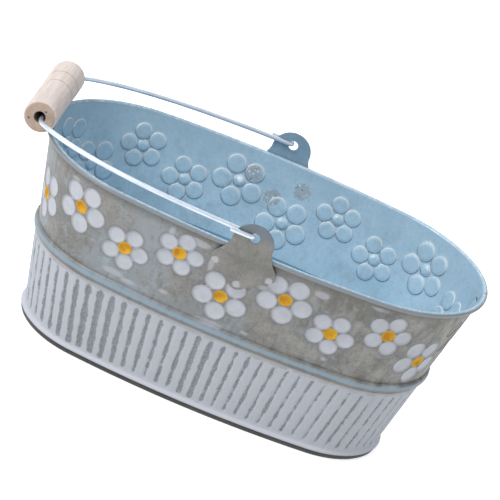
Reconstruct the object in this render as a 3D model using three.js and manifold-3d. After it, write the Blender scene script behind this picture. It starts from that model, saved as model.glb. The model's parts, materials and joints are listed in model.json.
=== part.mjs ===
// Oval zinc flower bucket with two welded ears, a wire bail and a turned wooden grip.
// Millimetres, +Z up, long axis along X. Two pressed half walls lap at the two ends.
import * as THREE from 'three';
import { mergeVertices } from 'three/addons/utils/BufferGeometryUtils.js';
import Module from 'manifold-3d';

// Overall size, measured over the rolled rim.
const LENGTH = 300;
const WIDTH = 166;
const HEIGHT = 128;
// The round ends have nearly half the width as their radius, so the sides bow only a little.
const END_ROUNDNESS = 0.93;

// Sheet and clearances.
const SHEET = 0.6;
const EAR_SHEET = 0.8;
const GAP = 0.3;

// Wall section, as inward distances from the rim's outer edge and heights over the floor.
const RIM_RADIUS = 1.7;
const UPPER_SLOPE = 0.207;
const LOWER_SLOPE = 0.198;
const BEAD_Z = 62.5;
const BEAD_HALF = 3.2;
const BEAD_PROUD = 2.0;
const LOWER_STEP = 1.3;
const LIP_Z = 3.9;
const LIP_HEIGHT = 2.4;
const LIP_FLARE = 2.0;
// Degrees that the rim is rolled.
const CURL_TURN = 268;

// Base pan: a flat floor held off the ground by a hemmed foot.
const FLOOR_Z = 5.0;
const FOOT_HEIGHT = 3.2;
const FOOT_INSET = 1.0;
const FOOT_CHAMFER = 0.5;

// Pressed flowers: five round petals and a round centre.
const PETAL_RADIUS = 6.1;
const PETAL_REACH = 11.7;
const PETAL_DEPTH = 1.1;
const CENTRE_RADIUS = 3.0;
const CENTRE_DEPTH = 1.4;
const SMALL_SCALE = 0.86;
const PETAL_SIDES = 6;
const PRESS_DRAFT = 0.8;
const PRESS_WALL = 0.55;
// Height that one unit along the sloping wall gains.
const PETAL_RISE = 0.98;
// Along the half wall (-1 to 1), up the flower band (0 to 1), size and turn in degrees.
const FLOWERS = [
  { along: -0.836, up: 0.414, scale: 1, turn: -18 },
  { along: -0.612, up: 0.614, scale: 1, turn: -8 },
  { along: -0.423, up: 0.441, scale: SMALL_SCALE, turn: -4 },
  { along: -0.234, up: 0.650, scale: SMALL_SCALE, turn: 6 },
  { along: -0.053, up: 0.388, scale: 1, turn: -19 },
  { along: 0.153, up: 0.627, scale: 1, turn: -11 },
  { along: 0.347, up: 0.443, scale: SMALL_SCALE, turn: -7 },
  { along: 0.527, up: 0.626, scale: SMALL_SCALE, turn: 0 },
  { along: 0.722, up: 0.344, scale: 1, turn: -21 },
  { along: 0.868, up: 0.600, scale: 1, turn: -8 },
];
// The rolled sheets have their pattern a little off the middle, both towards +X.
const PATTERN_DRIFT = 0.02;

// Ribbed lower part: upright grooves pressed inwards.
const GROOVES = 39;
// Share of the half wall between its first and last groove.
const GROOVE_SPAN = 0.954;
const GROOVE_HALF_WIDTH = 1.3;
const GROOVE_DEPTH = 1.0;
const GROOVE_LOW_Z = 7.8;
const GROOVE_TOP_DROP = 8.0;

// Lap seam at each end.
const LAP_WIDTH = 5.5;
const LAP_ROOT = 1.3;
const LAP_GAP = 0.65;
const LAP_TOP_DROP = 7.0;

// Ears.
const HOLE_ABOVE_RIM = 9.75;
const HOLE_RADIUS = 3.2;
const EAR_TAB_RADIUS = 12.5;
const EAR_TOP_ABOVE_HOLE = 8.9;
const EAR_NECK_HALF = 15.2;
const EAR_SHOULDER_HALF = 22.0;
const EAR_SHOULDER_DROP = 24.5;
const EAR_TIP_DROP = 40.6;
const EAR_BEND_HEIGHT = 6.2;
const EAR_BEND_EASE = 1.0;
// Rounding of the ear's outline: where each curve starts and how far it is pulled out.
const EAR_NECK_FILLET = 2.0;
const EAR_NECK_PULL = 0.4;
const EAR_SHOULDER_INSET = 3.0;
const EAR_SHOULDER_RISE = 7.0;
const EAR_SHOULDER_PULL = 1.5;
const EAR_SHOULDER_RETURN = 4.0;
const EAR_TIP_HALF = 6.0;
const EAR_TIP_PULL = 2.0;
const WELD_RADIUS = 2.3;
const WELD_DEPTH = 0.3;
const WELD_TAPER = 0.7;
const WELD_SPREAD = 17.7;
const WELD_HIGH_DROP = 25.4;
const WELD_LOW_DROP = 36.2;

// Bail and grip.
const WIRE_RADIUS = 1.5;
const HOOK_TAIL = 15;
const GRIP_LENGTH = 81;
const GRIP_RADIUS = 11.1;
const GRIP_WAIST = 0.35;
const GRIP_EDGE = 2.2;
// Turned lines: their depth, half width and places as shares of the half length.
const GRIP_LINE = 0.35;
const GRIP_LINE_HALF = 0.8;
const GRIP_LINES = [0.24, 0.5];
const BORE_RADIUS = 3.6;
const GRIP_OVERHANG = 1.2;
// The arm leaves the ear straight, drifts inwards and slopes to a corner beside the grip.
const ARM_START = 12;
const ARM_DRIFT = 2;
const ARM_PULLS = [0.4, 0.23];
const ARM_END_SLOPE = 40;
const ARM_BEND_RADIUS = 9;
const CORNER_PLAY = 3.2;

// Facets along the round shapes.
const END_STEPS = 7;
const SIDE_STEPS = 3;
const BEAD_STEPS = 4;
const CURL_STEPS = 5;
const HOOK_STEPS = 5;
const ARM_STEPS = 9;
const CORNER_STEPS = 4;
const WIRE_SIDES = 8;
const HOLE_SIDES = 20;
const WELD_SIDES = 8;
const GRIP_SIDES = 24;

const DEG = Math.PI / 180;
const MITRE_LIMIT = 0.5;
const MERGE_DISTANCE = 1e-4;
const wasm = await Module();
wasm.setup();

// Section: plan of the oval.

const halfLength = LENGTH / 2;
const halfWidth = WIDTH / 2;
const endRadius = halfWidth * END_ROUNDNESS;
const endCentre = halfLength - endRadius;
const sideRadius = (endCentre ** 2 + halfWidth ** 2 - endRadius ** 2) / (2 * (halfWidth - endRadius));
const sideCentre = sideRadius - halfWidth;
const endAngle = Math.atan2(sideCentre, endCentre);
const sideAngle = Math.PI / 2 - endAngle;

/** Length of a quarter of the oval that lies `inward` of the rim's outer edge. */
function quarterLength(inward) {
  return (sideRadius - inward) * sideAngle + (endRadius - inward) * endAngle;
}

/** Place on the front half: `along` runs from the front's middle, positive towards +X. */
function stationAt(along, inward) {
  const sideHalf = (sideRadius - inward) * sideAngle;
  const sign = Math.sign(along) || 1;
  const rest = Math.abs(along) - sideHalf;
  if (rest <= 0) {
    const turn = along / (sideRadius - inward);
    return { cx: 0, cy: sideCentre, radius: sideRadius, angle: -Math.PI / 2 + turn };
  }
  const turn = sideAngle + rest / (endRadius - inward);
  return { cx: sign * endCentre, cy: 0, radius: endRadius, angle: -Math.PI / 2 + sign * turn };
}

/** Point of a station at an inward distance and height. */
function pointAt(station, inward, z) {
  const reach = station.radius - inward;
  const x = station.cx + reach * Math.cos(station.angle);
  const y = station.cy + reach * Math.sin(station.angle);
  return [x, y, z];
}

/** Stations of the front half, from the left seam to the right seam. */
function halfStations(trimAngle) {
  const stations = [];
  const end = endAngle - trimAngle;
  for (let i = 0; i <= END_STEPS; i += 1) {
    const angle = -Math.PI + trimAngle + end * (i / END_STEPS);
    stations.push({ cx: -endCentre, cy: 0, radius: endRadius, angle });
  }
  for (let i = 1; i <= SIDE_STEPS; i += 1) {
    const angle = -Math.PI / 2 - sideAngle + 2 * sideAngle * (i / SIDE_STEPS);
    stations.push({ cx: 0, cy: sideCentre, radius: sideRadius, angle });
  }
  for (let i = 1; i <= END_STEPS; i += 1) {
    const angle = -endAngle + end * (i / END_STEPS);
    stations.push({ cx: endCentre, cy: 0, radius: endRadius, angle });
  }
  return stations;
}

// Section: wall section.

const rimZ = HEIGHT - RIM_RADIUS;
const upperTop = 2 * RIM_RADIUS - SHEET;

/** Inward distance of the outer face at a height, without bead, grooves and lip. */
function outerFace(z) {
  const line = upperTop + UPPER_SLOPE * (rimZ - z);
  if (z >= BEAD_Z) {
    return line;
  }
  const step = upperTop + UPPER_SLOPE * (rimZ - BEAD_Z + BEAD_HALF) - LOWER_STEP;
  return step + LOWER_SLOPE * (BEAD_Z - BEAD_HALF - z);
}

/** Closed outline of a bent sheet from its centre line. */
function thicken(line, thickness) {
  const left = [];
  const right = [];
  line.forEach((point, i) => {
    const before = line[Math.max(i - 1, 0)];
    const after = line[Math.min(i + 1, line.length - 1)];
    const first = new THREE.Vector2(point[0] - before[0], point[1] - before[1]).normalize();
    const second = new THREE.Vector2(after[0] - point[0], after[1] - point[1]).normalize();
    const along = first.clone().add(second).normalize();
    const single = i === 0 ? second : first;
    const reach = thickness / 2 / Math.max(along.dot(single), MITRE_LIMIT);
    left.push([point[0] - along.y * reach, point[1] + along.x * reach]);
    right.push([point[0] + along.y * reach, point[1] - along.x * reach]);
  });
  return left.concat(right.reverse());
}

/** Centre line of the wall sheet from the lip up to the end of the rolled rim. */
function wallLine() {
  const half = SHEET / 2;
  const lipTop = LIP_Z + LIP_HEIGHT;
  const line = [
    [outerFace(lipTop) + half - LIP_FLARE, LIP_Z],
    [outerFace(lipTop) + half, lipTop],
  ];
  const lowZ = BEAD_Z - BEAD_HALF;
  const highZ = BEAD_Z + BEAD_HALF;
  for (let i = 0; i <= BEAD_STEPS; i += 1) {
    const turn = Math.PI * (i / BEAD_STEPS);
    const t = (1 - Math.cos(turn)) / 2;
    const base = outerFace(lowZ) * (1 - t) + outerFace(highZ) * t + half;
    line.push([base - BEAD_PROUD * Math.sin(turn), lowZ + (highZ - lowZ) * t]);
  }
  const curl = RIM_RADIUS - half;
  for (let i = 0; i <= CURL_STEPS; i += 1) {
    const turn = (i / CURL_STEPS) * CURL_TURN * DEG;
    line.push([RIM_RADIUS + curl * Math.cos(turn), rimZ + curl * Math.sin(turn)]);
  }
  return line;
}

// Section: solids.

/** Solid from positions and triangles. */
function solid(positions, triangles) {
  const mesh = new wasm.Mesh({
    numProp: 3,
    vertProperties: new Float32Array(positions.flat()),
    triVerts: new Uint32Array(triangles.flat()),
  });
  return new wasm.Manifold(mesh);
}

/** Solid from a three.js geometry. */
function solidFrom(geometry) {
  const bare = geometry.clone();
  bare.deleteAttribute('normal');
  bare.deleteAttribute('uv');
  const welded = mergeVertices(bare, MERGE_DISTANCE);
  const mesh = new wasm.Mesh({
    numProp: 3,
    vertProperties: new Float32Array(welded.attributes.position.array),
    triVerts: new Uint32Array(welded.index.array),
  });
  return new wasm.Manifold(mesh);
}

/** Three.js geometry from a solid. */
function geometryFrom(shape) {
  const mesh = shape.getMesh();
  const geometry = new THREE.BufferGeometry();
  const count = mesh.vertProperties.length / mesh.numProp;
  const positions = new Float32Array(count * 3);
  for (let i = 0; i < count; i += 1) {
    for (let k = 0; k < 3; k += 1) {
      positions[i * 3 + k] = mesh.vertProperties[i * mesh.numProp + k];
    }
  }
  geometry.setAttribute('position', new THREE.BufferAttribute(positions, 3));
  geometry.setIndex(new THREE.BufferAttribute(new Uint32Array(mesh.triVerts), 1));
  return geometry;
}

/** Closed solid through rings of points; the ends are capped unless the rings close on themselves. */
function loft(rings, closed) {
  const size = rings[0].length;
  const positions = rings.flat();
  const triangles = [];
  const spans = closed ? rings.length : rings.length - 1;
  for (let i = 0; i < spans; i += 1) {
    const a = i * size;
    const b = ((i + 1) % rings.length) * size;
    for (let k = 0; k < size; k += 1) {
      const n = (k + 1) % size;
      triangles.push([a + k, b + k, b + n]);
      triangles.push([a + k, b + n, a + n]);
    }
  }
  if (!closed) {
    const flat = capTriangles(rings[0]);
    const last = (rings.length - 1) * size;
    flat.forEach(([p, q, r]) => {
      triangles.push([p, q, r]);
      triangles.push([last + r, last + q, last + p]);
    });
  }
  const shape = solid(positions, triangles);
  if (shape.volume() > 0) {
    return shape;
  }
  return solid(positions, triangles.map(([p, q, r]) => [r, q, p]));
}

/** Triangles of a flat ring, wound against the ring's own order. */
function capTriangles(ring) {
  const points = ring.map((p) => new THREE.Vector3(...p));
  const normal = new THREE.Vector3();
  points.forEach((p, i) => normal.add(p.clone().cross(points[(i + 1) % points.length])));
  normal.normalize();
  const helper = Math.abs(normal.z) < 0.9 ? new THREE.Vector3(0, 0, 1) : new THREE.Vector3(1, 0, 0);
  const u = helper.clone().cross(normal).normalize();
  const v = normal.clone().cross(u);
  const flat = points.map((p) => new THREE.Vector2(p.dot(u), p.dot(v)));
  return THREE.ShapeUtils.triangulateShape(flat, []);
}

/** Sweep of a closed section of [inward, z] points through plan stations. */
function sweepSection(section, stations, closed) {
  const rings = stations.map((station) => section.map(([inward, z]) => pointAt(station, inward, z)));
  return loft(rings, closed);
}

/** Local axes on the wall's outer face: along, up the slope and inwards. */
function wallFrame(along, z) {
  const station = stationAt(along, outerFace(z));
  const slope = z >= BEAD_Z ? UPPER_SLOPE : LOWER_SLOPE;
  const out = new THREE.Vector3(Math.cos(station.angle), Math.sin(station.angle), 0);
  const u = new THREE.Vector3(-out.y, out.x, 0);
  const v = new THREE.Vector3(out.x * slope, out.y * slope, 1).normalize();
  const inwards = v.clone().cross(u).normalize();
  return { origin: new THREE.Vector3(...pointAt(station, outerFace(z), z)), u, v, inwards };
}

/** Row of a local point in a wall frame. */
function place(frame, a, b, depth) {
  const p = frame.origin.clone();
  p.addScaledVector(frame.u, a);
  p.addScaledVector(frame.v, b);
  p.addScaledVector(frame.inwards, depth);
  return [p.x, p.y, p.z];
}

/** Tapered round punch around (a, b) between two depths. */
function punch(frame, a, b, radius, from, to, draft) {
  const points = [];
  for (let i = 0; i < PETAL_SIDES; i += 1) {
    const turn = (i / PETAL_SIDES) * 2 * Math.PI + Math.atan2(b, a);
    for (const depth of [from, to]) {
      const reach = radius - draft * depth;
      points.push(place(frame, a + reach * Math.cos(turn), b + reach * Math.sin(turn), depth));
    }
  }
  return wasm.Manifold.hull(points);
}

/** Wedge for one groove; `grow` moves its faces outwards by about one sheet. */
function wedge(frame, halfLong, grow) {
  const slope = GROOVE_DEPTH / GROOVE_HALF_WIDTH;
  const apex = GROOVE_DEPTH + grow * Math.hypot(1, slope);
  const start = grow > 0 ? SHEET / 2 : -SHEET;
  const reach = (apex - start) / slope;
  const points = [];
  for (const end of [-1, 1]) {
    for (const side of [-1, 1]) {
      points.push(place(frame, side * reach, end * (halfLong + reach - GROOVE_HALF_WIDTH), start));
    }
    points.push(place(frame, 0, end * (halfLong - GROOVE_HALF_WIDTH), apex));
  }
  return wasm.Manifold.hull(points);
}

/** Punches of all flowers of one wall: the pads inside and the recesses outside. */
function flowerTools(drift) {
  const pads = [];
  const recesses = [];
  const press = (frame, a, b, radius, depth) => {
    pads.push(punch(frame, a, b, radius + PRESS_WALL, SHEET / 2, SHEET + depth, PRESS_DRAFT));
    recesses.push(punch(frame, a, b, radius, -SHEET, depth, PRESS_DRAFT));
  };
  for (const flower of FLOWERS) {
    const z = BEAD_Z + flower.up * (HEIGHT - BEAD_Z);
    const along = (flower.along + drift) * quarterLength(outerFace(z));
    press(wallFrame(along, z), 0, 0, CENTRE_RADIUS, CENTRE_DEPTH);
    for (let i = 0; i < 5; i += 1) {
      const turn = (flower.turn + 72 * i) * DEG;
      const a = PETAL_REACH * flower.scale * Math.cos(turn);
      const b = PETAL_REACH * flower.scale * Math.sin(turn);
      const frame = wallFrame(along + a, z + b * PETAL_RISE);
      press(frame, 0, 0, PETAL_RADIUS * flower.scale, PETAL_DEPTH);
    }
  }
  return { pads, recesses };
}

/** Wedges of all grooves of one wall. */
function grooveTools() {
  const pads = [];
  const recesses = [];
  const topZ = BEAD_Z - GROOVE_TOP_DROP;
  const z = (topZ + GROOVE_LOW_Z) / 2;
  const halfLong = (topZ - GROOVE_LOW_Z) / 2;
  const reach = GROOVE_SPAN * quarterLength(outerFace(z));
  for (let i = 0; i < GROOVES; i += 1) {
    const frame = wallFrame(reach * (2 * i / (GROOVES - 1) - 1), z);
    pads.push(wedge(frame, halfLong, SHEET));
    recesses.push(wedge(frame, halfLong, 0));
  }
  return { pads, recesses };
}

/** Lap strip that reaches behind the other half wall at the right end. */
function lapStrip() {
  const topZ = HEIGHT - LAP_TOP_DROP;
  const heights = [GROOVE_LOW_Z, BEAD_Z - BEAD_HALF, BEAD_Z + BEAD_HALF, topZ];
  const line = heights.map((z) => [outerFace(z) + 1.5 * SHEET + LAP_GAP, z]);
  const web = heights.map((z) => [outerFace(z) + SHEET + LAP_GAP / 2, z]);
  const plates = [[line, SHEET, LAP_WIDTH], [web, SHEET + LAP_GAP, -GAP]];
  return plates.map(([centre, thickness, end]) => {
    const reach = [-LAP_ROOT, (end - LAP_ROOT) / 2, end];
    const stations = reach.map((s) => {
      const angle = s / (endRadius - outerFace(BEAD_Z));
      return { cx: endCentre, cy: 0, radius: endRadius, angle };
    });
    return sweepSection(thicken(centre, thickness), stations, false);
  });
}

/** One half wall, on the front side. */
function halfWall(drift) {
  const trim = GAP / 2 / (endRadius - outerFace(BEAD_Z));
  const sheet = sweepSection(thicken(wallLine(), SHEET), halfStations(trim), false);
  const flowers = flowerTools(drift);
  const grooves = grooveTools();
  const added = [sheet, ...lapStrip(), ...flowers.pads, ...grooves.pads];
  const cut = [...flowers.recesses, ...grooves.recesses];
  const pressed = wasm.Manifold.union(added).subtract(wasm.Manifold.union(cut));
  // Slivers far thinner than the sheet are merged away.
  return pressed.asOriginal().simplify(SHEET / 6);
}

/** Base pan: floor, upright leg inside the walls and a hemmed foot below the lip. */
function basePan() {
  const inner = (z) => outerFace(z) + SHEET + GAP;
  const legOut = inner(LIP_Z + LIP_HEIGHT);
  const footOut = outerFace(LIP_Z + LIP_HEIGHT) - LIP_FLARE + FOOT_INSET;
  const c = FOOT_CHAMFER;
  const section = [
    [footOut, c],
    [footOut + c, 0],
    [legOut + SHEET - c, 0],
    [legOut + SHEET, c],
    [legOut + SHEET, FLOOR_Z + SHEET / 2],
    [legOut + SHEET, FLOOR_Z + SHEET],
    [legOut, FLOOR_Z + SHEET],
    [legOut, FOOT_HEIGHT],
    [footOut + c, FOOT_HEIGHT],
    [footOut, FOOT_HEIGHT - c],
  ];
  const half = halfStations(0);
  const back = half.map((s) => ({ ...s, cx: -s.cx, cy: -s.cy, angle: s.angle + Math.PI }));
  const around = half.slice(0, -1).concat(back.slice(0, -1));
  const ring = sweepSection(section, around, true);
  const outline = around.map((station) => pointAt(station, legOut + SHEET / 2, 0));
  const shape = new THREE.Shape(outline.map(([x, y]) => new THREE.Vector2(x, y)));
  const floor = new THREE.ExtrudeGeometry(shape, { depth: SHEET, bevelEnabled: false });
  floor.translate(0, 0, FLOOR_Z);
  return ring.add(solidFrom(floor));
}

// Section: ears.

const holeZ = HEIGHT + HOLE_ABOVE_RIM;
const tabY = halfWidth + GAP + EAR_SHEET / 2;

/** Outline of the flat ear in x and z, seen from the front. */
function earOutline() {
  const shape = new THREE.Shape();
  const centreZ = holeZ + EAR_TOP_ABOVE_HOLE - EAR_TAB_RADIUS;
  const shoulderZ = holeZ - EAR_SHOULDER_DROP;
  const tipZ = holeZ - EAR_TIP_DROP;
  const neckZ = HEIGHT - EAR_NECK_FILLET;
  const edge = (shoulderZ - tipZ) / EAR_SHOULDER_HALF;
  const above = [EAR_SHOULDER_HALF - EAR_SHOULDER_INSET, shoulderZ + EAR_SHOULDER_RISE];
  const corner = [EAR_SHOULDER_HALF + EAR_SHOULDER_PULL, shoulderZ];
  const below = [EAR_SHOULDER_HALF - EAR_SHOULDER_RETURN, shoulderZ - EAR_SHOULDER_RETURN * edge];
  const nearTip = [EAR_TIP_HALF, tipZ + EAR_TIP_HALF * edge];
  const neckCurve = [EAR_TAB_RADIUS + EAR_NECK_PULL, HEIGHT + EAR_NECK_FILLET];
  shape.moveTo(EAR_TAB_RADIUS, centreZ);
  shape.absarc(0, centreZ, EAR_TAB_RADIUS, 0, Math.PI, false);
  shape.quadraticCurveTo(-neckCurve[0], neckCurve[1], -EAR_NECK_HALF, neckZ);
  shape.lineTo(-above[0], above[1]);
  shape.quadraticCurveTo(-corner[0], corner[1], -below[0], below[1]);
  shape.lineTo(-nearTip[0], nearTip[1]);
  shape.quadraticCurveTo(0, tipZ - EAR_TIP_PULL, ...nearTip);
  shape.lineTo(...below);
  shape.quadraticCurveTo(...corner, ...above);
  shape.lineTo(EAR_NECK_HALF, neckZ);
  shape.quadraticCurveTo(...neckCurve, EAR_TAB_RADIUS, centreZ);
  return shape;
}

/** Ear on the front side: an upright tab that bends past the rim onto the sloping wall. */
function ear() {
  const onWall = (z) => halfWidth - outerFace(z) + GAP + EAR_SHEET / 2;
  const bendTop = HEIGHT - 2 * RIM_RADIUS - GAP;
  const bendLow = bendTop - EAR_BEND_HEIGHT;
  // The bent strip is cut from a blank that is a little larger all round.
  const spare = EAR_TAB_RADIUS / 2;
  const ease = EAR_BEND_EASE;
  const lowZ = holeZ - EAR_TIP_DROP - spare;
  const line = [
    [-tabY, holeZ + EAR_TAB_RADIUS],
    [-tabY, bendTop + ease],
    [-tabY + 0.5 * ease, bendTop - 0.6 * ease],
    [-onWall(bendLow) - 0.4 * ease, bendLow + 0.8 * ease],
    [-onWall(bendLow - ease), bendLow - ease],
    [-onWall(lowZ), lowZ],
  ];
  const section = thicken(line, EAR_SHEET);
  const reach = EAR_SHOULDER_HALF + spare;
  const strip = loft([-reach, reach].map((x) => section.map(([y, z]) => [x, y, z])), false);
  const depth = WIDTH;
  const blank = new THREE.ExtrudeGeometry(earOutline(), { depth, bevelEnabled: false, curveSegments: 6 });
  blank.rotateX(Math.PI / 2);
  const hole = new THREE.CylinderGeometry(HOLE_RADIUS, HOLE_RADIUS, 4 * EAR_SHEET, HOLE_SIDES);
  hole.translate(0, -tabY, holeZ);
  let shape = strip.intersect(solidFrom(blank)).subtract(solidFrom(hole));
  const welds = [[-WELD_SPREAD, WELD_HIGH_DROP], [WELD_SPREAD, WELD_HIGH_DROP], [0, WELD_LOW_DROP]];
  for (const [x, drop] of welds) {
    const z = holeZ - drop;
    const y = -onWall(z) - EAR_SHEET / 2;
    const floor = WELD_RADIUS * WELD_TAPER;
    const mark = new THREE.CylinderGeometry(floor, WELD_RADIUS, 2 * WELD_DEPTH, WELD_SIDES);
    mark.rotateX(Math.atan(UPPER_SLOPE));
    mark.translate(x, y, z);
    shape = shape.subtract(solidFrom(mark));
  }
  return shape;
}

// Section: bail and grip.

// The grip rests on the rolled rim at the left end.
const gripX = -(halfLength + GRIP_OVERHANG);
const restReach = GRIP_RADIUS - GRIP_WAIST + RIM_RADIUS + GAP;
const rimX = -(halfLength - RIM_RADIUS);
const gripZ = rimZ + Math.sqrt(restReach ** 2 - (gripX - rimX) ** 2);
// The wire hangs in the upper left of the ear holes and in the lower right of the bore.
const holePlay = (HOLE_RADIUS - WIRE_RADIUS - GAP) * Math.SQRT1_2;
const borePlay = (BORE_RADIUS - WIRE_RADIUS - GAP) * Math.SQRT1_2;
const hinge = { x: -holePlay, z: holeZ + holePlay };
const seat = { x: gripX + borePlay, z: gripZ - borePlay };

/** Centre line of the wire as [distance from the hinge, y], from one tail to the other. */
function wireLine() {
  const fold = WIRE_RADIUS + GAP + EAR_SHEET / 2;
  const reach = Math.hypot(seat.x - hinge.x, seat.z - hinge.z);
  const slope = ARM_END_SLOPE * DEG;
  const turn = Math.PI / 2 - slope;
  const tangent = ARM_BEND_RADIUS * Math.tan(turn / 2);
  const cornerY = GRIP_LENGTH / 2 + CORNER_PLAY;
  const bendStart = [reach - tangent * Math.cos(slope), cornerY + tangent * Math.sin(slope)];
  const points = [[HOOK_TAIL, tabY + fold]];
  for (let i = 0; i <= HOOK_STEPS; i += 1) {
    const a = Math.PI * (i / HOOK_STEPS);
    points.push([fold - fold * Math.sin(a), tabY + fold * Math.cos(a)]);
  }
  const [firstPull, lastPull] = ARM_PULLS.map((share) => share * reach);
  const start = new THREE.Vector2(ARM_START, tabY - fold);
  const arm = new THREE.CubicBezierCurve(
    start,
    new THREE.Vector2(start.x + firstPull, start.y - ARM_DRIFT),
    new THREE.Vector2(bendStart[0] - lastPull * Math.cos(slope), bendStart[1] + lastPull * Math.sin(slope)),
    new THREE.Vector2(...bendStart),
  );
  arm.getPoints(ARM_STEPS).slice(0, -1).forEach((p) => points.push([p.x, p.y]));
  const bendCentre = [reach - ARM_BEND_RADIUS, cornerY - tangent];
  for (let i = 0; i <= CORNER_STEPS; i += 1) {
    const a = turn * (1 - i / CORNER_STEPS);
    points.push([
      bendCentre[0] + ARM_BEND_RADIUS * Math.cos(a),
      bendCentre[1] + ARM_BEND_RADIUS * Math.sin(a),
    ]);
  }
  const mirrored = points.map(([r, y]) => [r, -y]).reverse();
  return points.concat(mirrored);
}

/** Wire bail: a round section carried along its flat centre line. */
function bail() {
  const line = wireLine();
  const toGrip = new THREE.Vector3(seat.x - hinge.x, 0, seat.z - hinge.z).normalize();
  const across = new THREE.Vector3(0, 1, 0);
  const flatNormal = toGrip.clone().cross(across);
  const origin = new THREE.Vector3(hinge.x, 0, hinge.z);
  const rings = line.map((point, i) => {
    const before = line[Math.max(i - 1, 0)];
    const after = line[Math.min(i + 1, line.length - 1)];
    const first = new THREE.Vector2(point[0] - before[0], point[1] - before[1]).normalize();
    const second = new THREE.Vector2(after[0] - point[0], after[1] - point[1]).normalize();
    const along = first.add(second).normalize();
    const ring = [];
    for (let k = 0; k < WIRE_SIDES; k += 1) {
      const a = (k / WIRE_SIDES) * 2 * Math.PI;
      const side = WIRE_RADIUS * Math.cos(a);
      const p = origin.clone();
      p.addScaledVector(toGrip, point[0] - along.y * side);
      p.addScaledVector(across, point[1] + along.x * side);
      p.addScaledVector(flatNormal, WIRE_RADIUS * Math.sin(a));
      ring.push([p.x, p.y, p.z]);
    }
    return ring;
  });
  return loft(rings, false);
}

/** Turned grip: rounded ends, a slight waist, two lathe lines and a clear bore. */
function grip() {
  const half = GRIP_LENGTH / 2;
  const body = (y) => GRIP_RADIUS - GRIP_WAIST * Math.cos((Math.PI * y) / GRIP_LENGTH);
  // Each rounded end edge has one point between its two ends.
  const edgeRadius = GRIP_RADIUS - 0.3 * GRIP_EDGE;
  const edgeY = half - 0.4 * GRIP_EDGE;
  const outline = [
    [BORE_RADIUS, -half],
    [GRIP_RADIUS - GRIP_EDGE, -half],
    [edgeRadius, -edgeY],
  ];
  const lines = GRIP_LINES.map((share) => share * half);
  const stops = [-half + GRIP_EDGE, -half / 2, 0, ...lines, half - GRIP_EDGE];
  for (const y of stops) {
    if (lines.includes(y)) {
      outline.push([body(y), y - GRIP_LINE_HALF]);
      outline.push([body(y) - GRIP_LINE, y]);
      outline.push([body(y), y + GRIP_LINE_HALF]);
    } else {
      outline.push([body(y), y]);
    }
  }
  outline.push([edgeRadius, edgeY]);
  outline.push([GRIP_RADIUS - GRIP_EDGE, half]);
  outline.push([BORE_RADIUS, half]);
  outline.push([BORE_RADIUS, -half]);
  const geometry = new THREE.LatheGeometry(outline.map(([r, y]) => new THREE.Vector2(r, y)), GRIP_SIDES);
  geometry.translate(gripX, 0, gripZ);
  return solidFrom(geometry);
}

// Section: assembly.

// The origin is the middle of the footprint, and the laid-down grip reaches past the left end.
const shift = -((gripX - GRIP_RADIUS) + halfLength) / 2;

const group = new THREE.Group();
group.name = 'flower_bucket';

/** Adds a named piece, turned about the oval's middle and moved to the origin. */
function addPiece(name, shape, color, roughness, metalness, turned) {
  const geometry = geometryFrom(shape);
  if (turned) {
    geometry.rotateZ(Math.PI);
  }
  geometry.translate(shift, 0, 0);
  geometry.computeVertexNormals();
  const material = new THREE.MeshStandardMaterial({ color, roughness, metalness });
  material.name = `${name}_material`;
  const mesh = new THREE.Mesh(geometry, material);
  mesh.name = name;
  group.add(mesh);
}

addPiece('wall_front', halfWall(PATTERN_DRIFT), 0xa6a8a6, 0.5, 0.8, false);
addPiece('wall_back', halfWall(-PATTERN_DRIFT), 0xa2a8ac, 0.5, 0.8, true);
addPiece('base_pan', basePan(), 0x77797a, 0.55, 0.8, false);
addPiece('ear_front', ear(), 0x8f8d84, 0.5, 0.8, false);
addPiece('ear_back', ear(), 0x86929c, 0.5, 0.8, true);
addPiece('bail_wire', bail(), 0xc9d2da, 0.25, 0.95, false);
addPiece('wood_grip', grip(), 0xe0d2c4, 0.65, 0, false);

export default group;
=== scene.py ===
"""Oval zinc flower bucket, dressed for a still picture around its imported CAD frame.

Sizes are in millimetres inside the classes and become metres when a mesh is written.
"""

import json
import logging
import math
from dataclasses import dataclass
from enum import Enum
from typing import Callable, Sequence

import bmesh
import bpy
import numpy as np
from mathutils import Matrix, Vector

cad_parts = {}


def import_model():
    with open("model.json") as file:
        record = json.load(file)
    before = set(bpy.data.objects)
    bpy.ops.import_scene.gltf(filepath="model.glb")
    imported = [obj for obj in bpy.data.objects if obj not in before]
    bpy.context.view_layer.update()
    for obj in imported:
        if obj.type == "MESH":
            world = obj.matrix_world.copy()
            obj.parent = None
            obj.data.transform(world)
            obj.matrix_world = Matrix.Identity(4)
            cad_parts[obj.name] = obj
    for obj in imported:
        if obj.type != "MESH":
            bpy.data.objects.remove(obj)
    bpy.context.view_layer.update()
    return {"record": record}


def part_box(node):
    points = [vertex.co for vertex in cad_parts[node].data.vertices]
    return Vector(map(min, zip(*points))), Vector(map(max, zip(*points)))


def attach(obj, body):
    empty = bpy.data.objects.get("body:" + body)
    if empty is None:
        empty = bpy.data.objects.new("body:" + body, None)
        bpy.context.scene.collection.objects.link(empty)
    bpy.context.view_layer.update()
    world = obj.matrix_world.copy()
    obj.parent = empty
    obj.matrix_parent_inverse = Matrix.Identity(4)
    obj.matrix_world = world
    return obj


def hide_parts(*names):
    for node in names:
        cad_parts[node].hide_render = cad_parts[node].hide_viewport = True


LOG = logging.getLogger("flower_bucket")
MM = 0.001

FAR = 99.0
BEVEL_DEG = 50
WALL_DRIFT = 0.02

Array = np.ndarray
Values = np.ndarray | float
Colour = tuple[float, float, float]
Pair = tuple[float, float]
Outline = list[Pair]
Socket = bpy.types.NodeSocket
Material = bpy.types.Material
Object = bpy.types.Object


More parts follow.
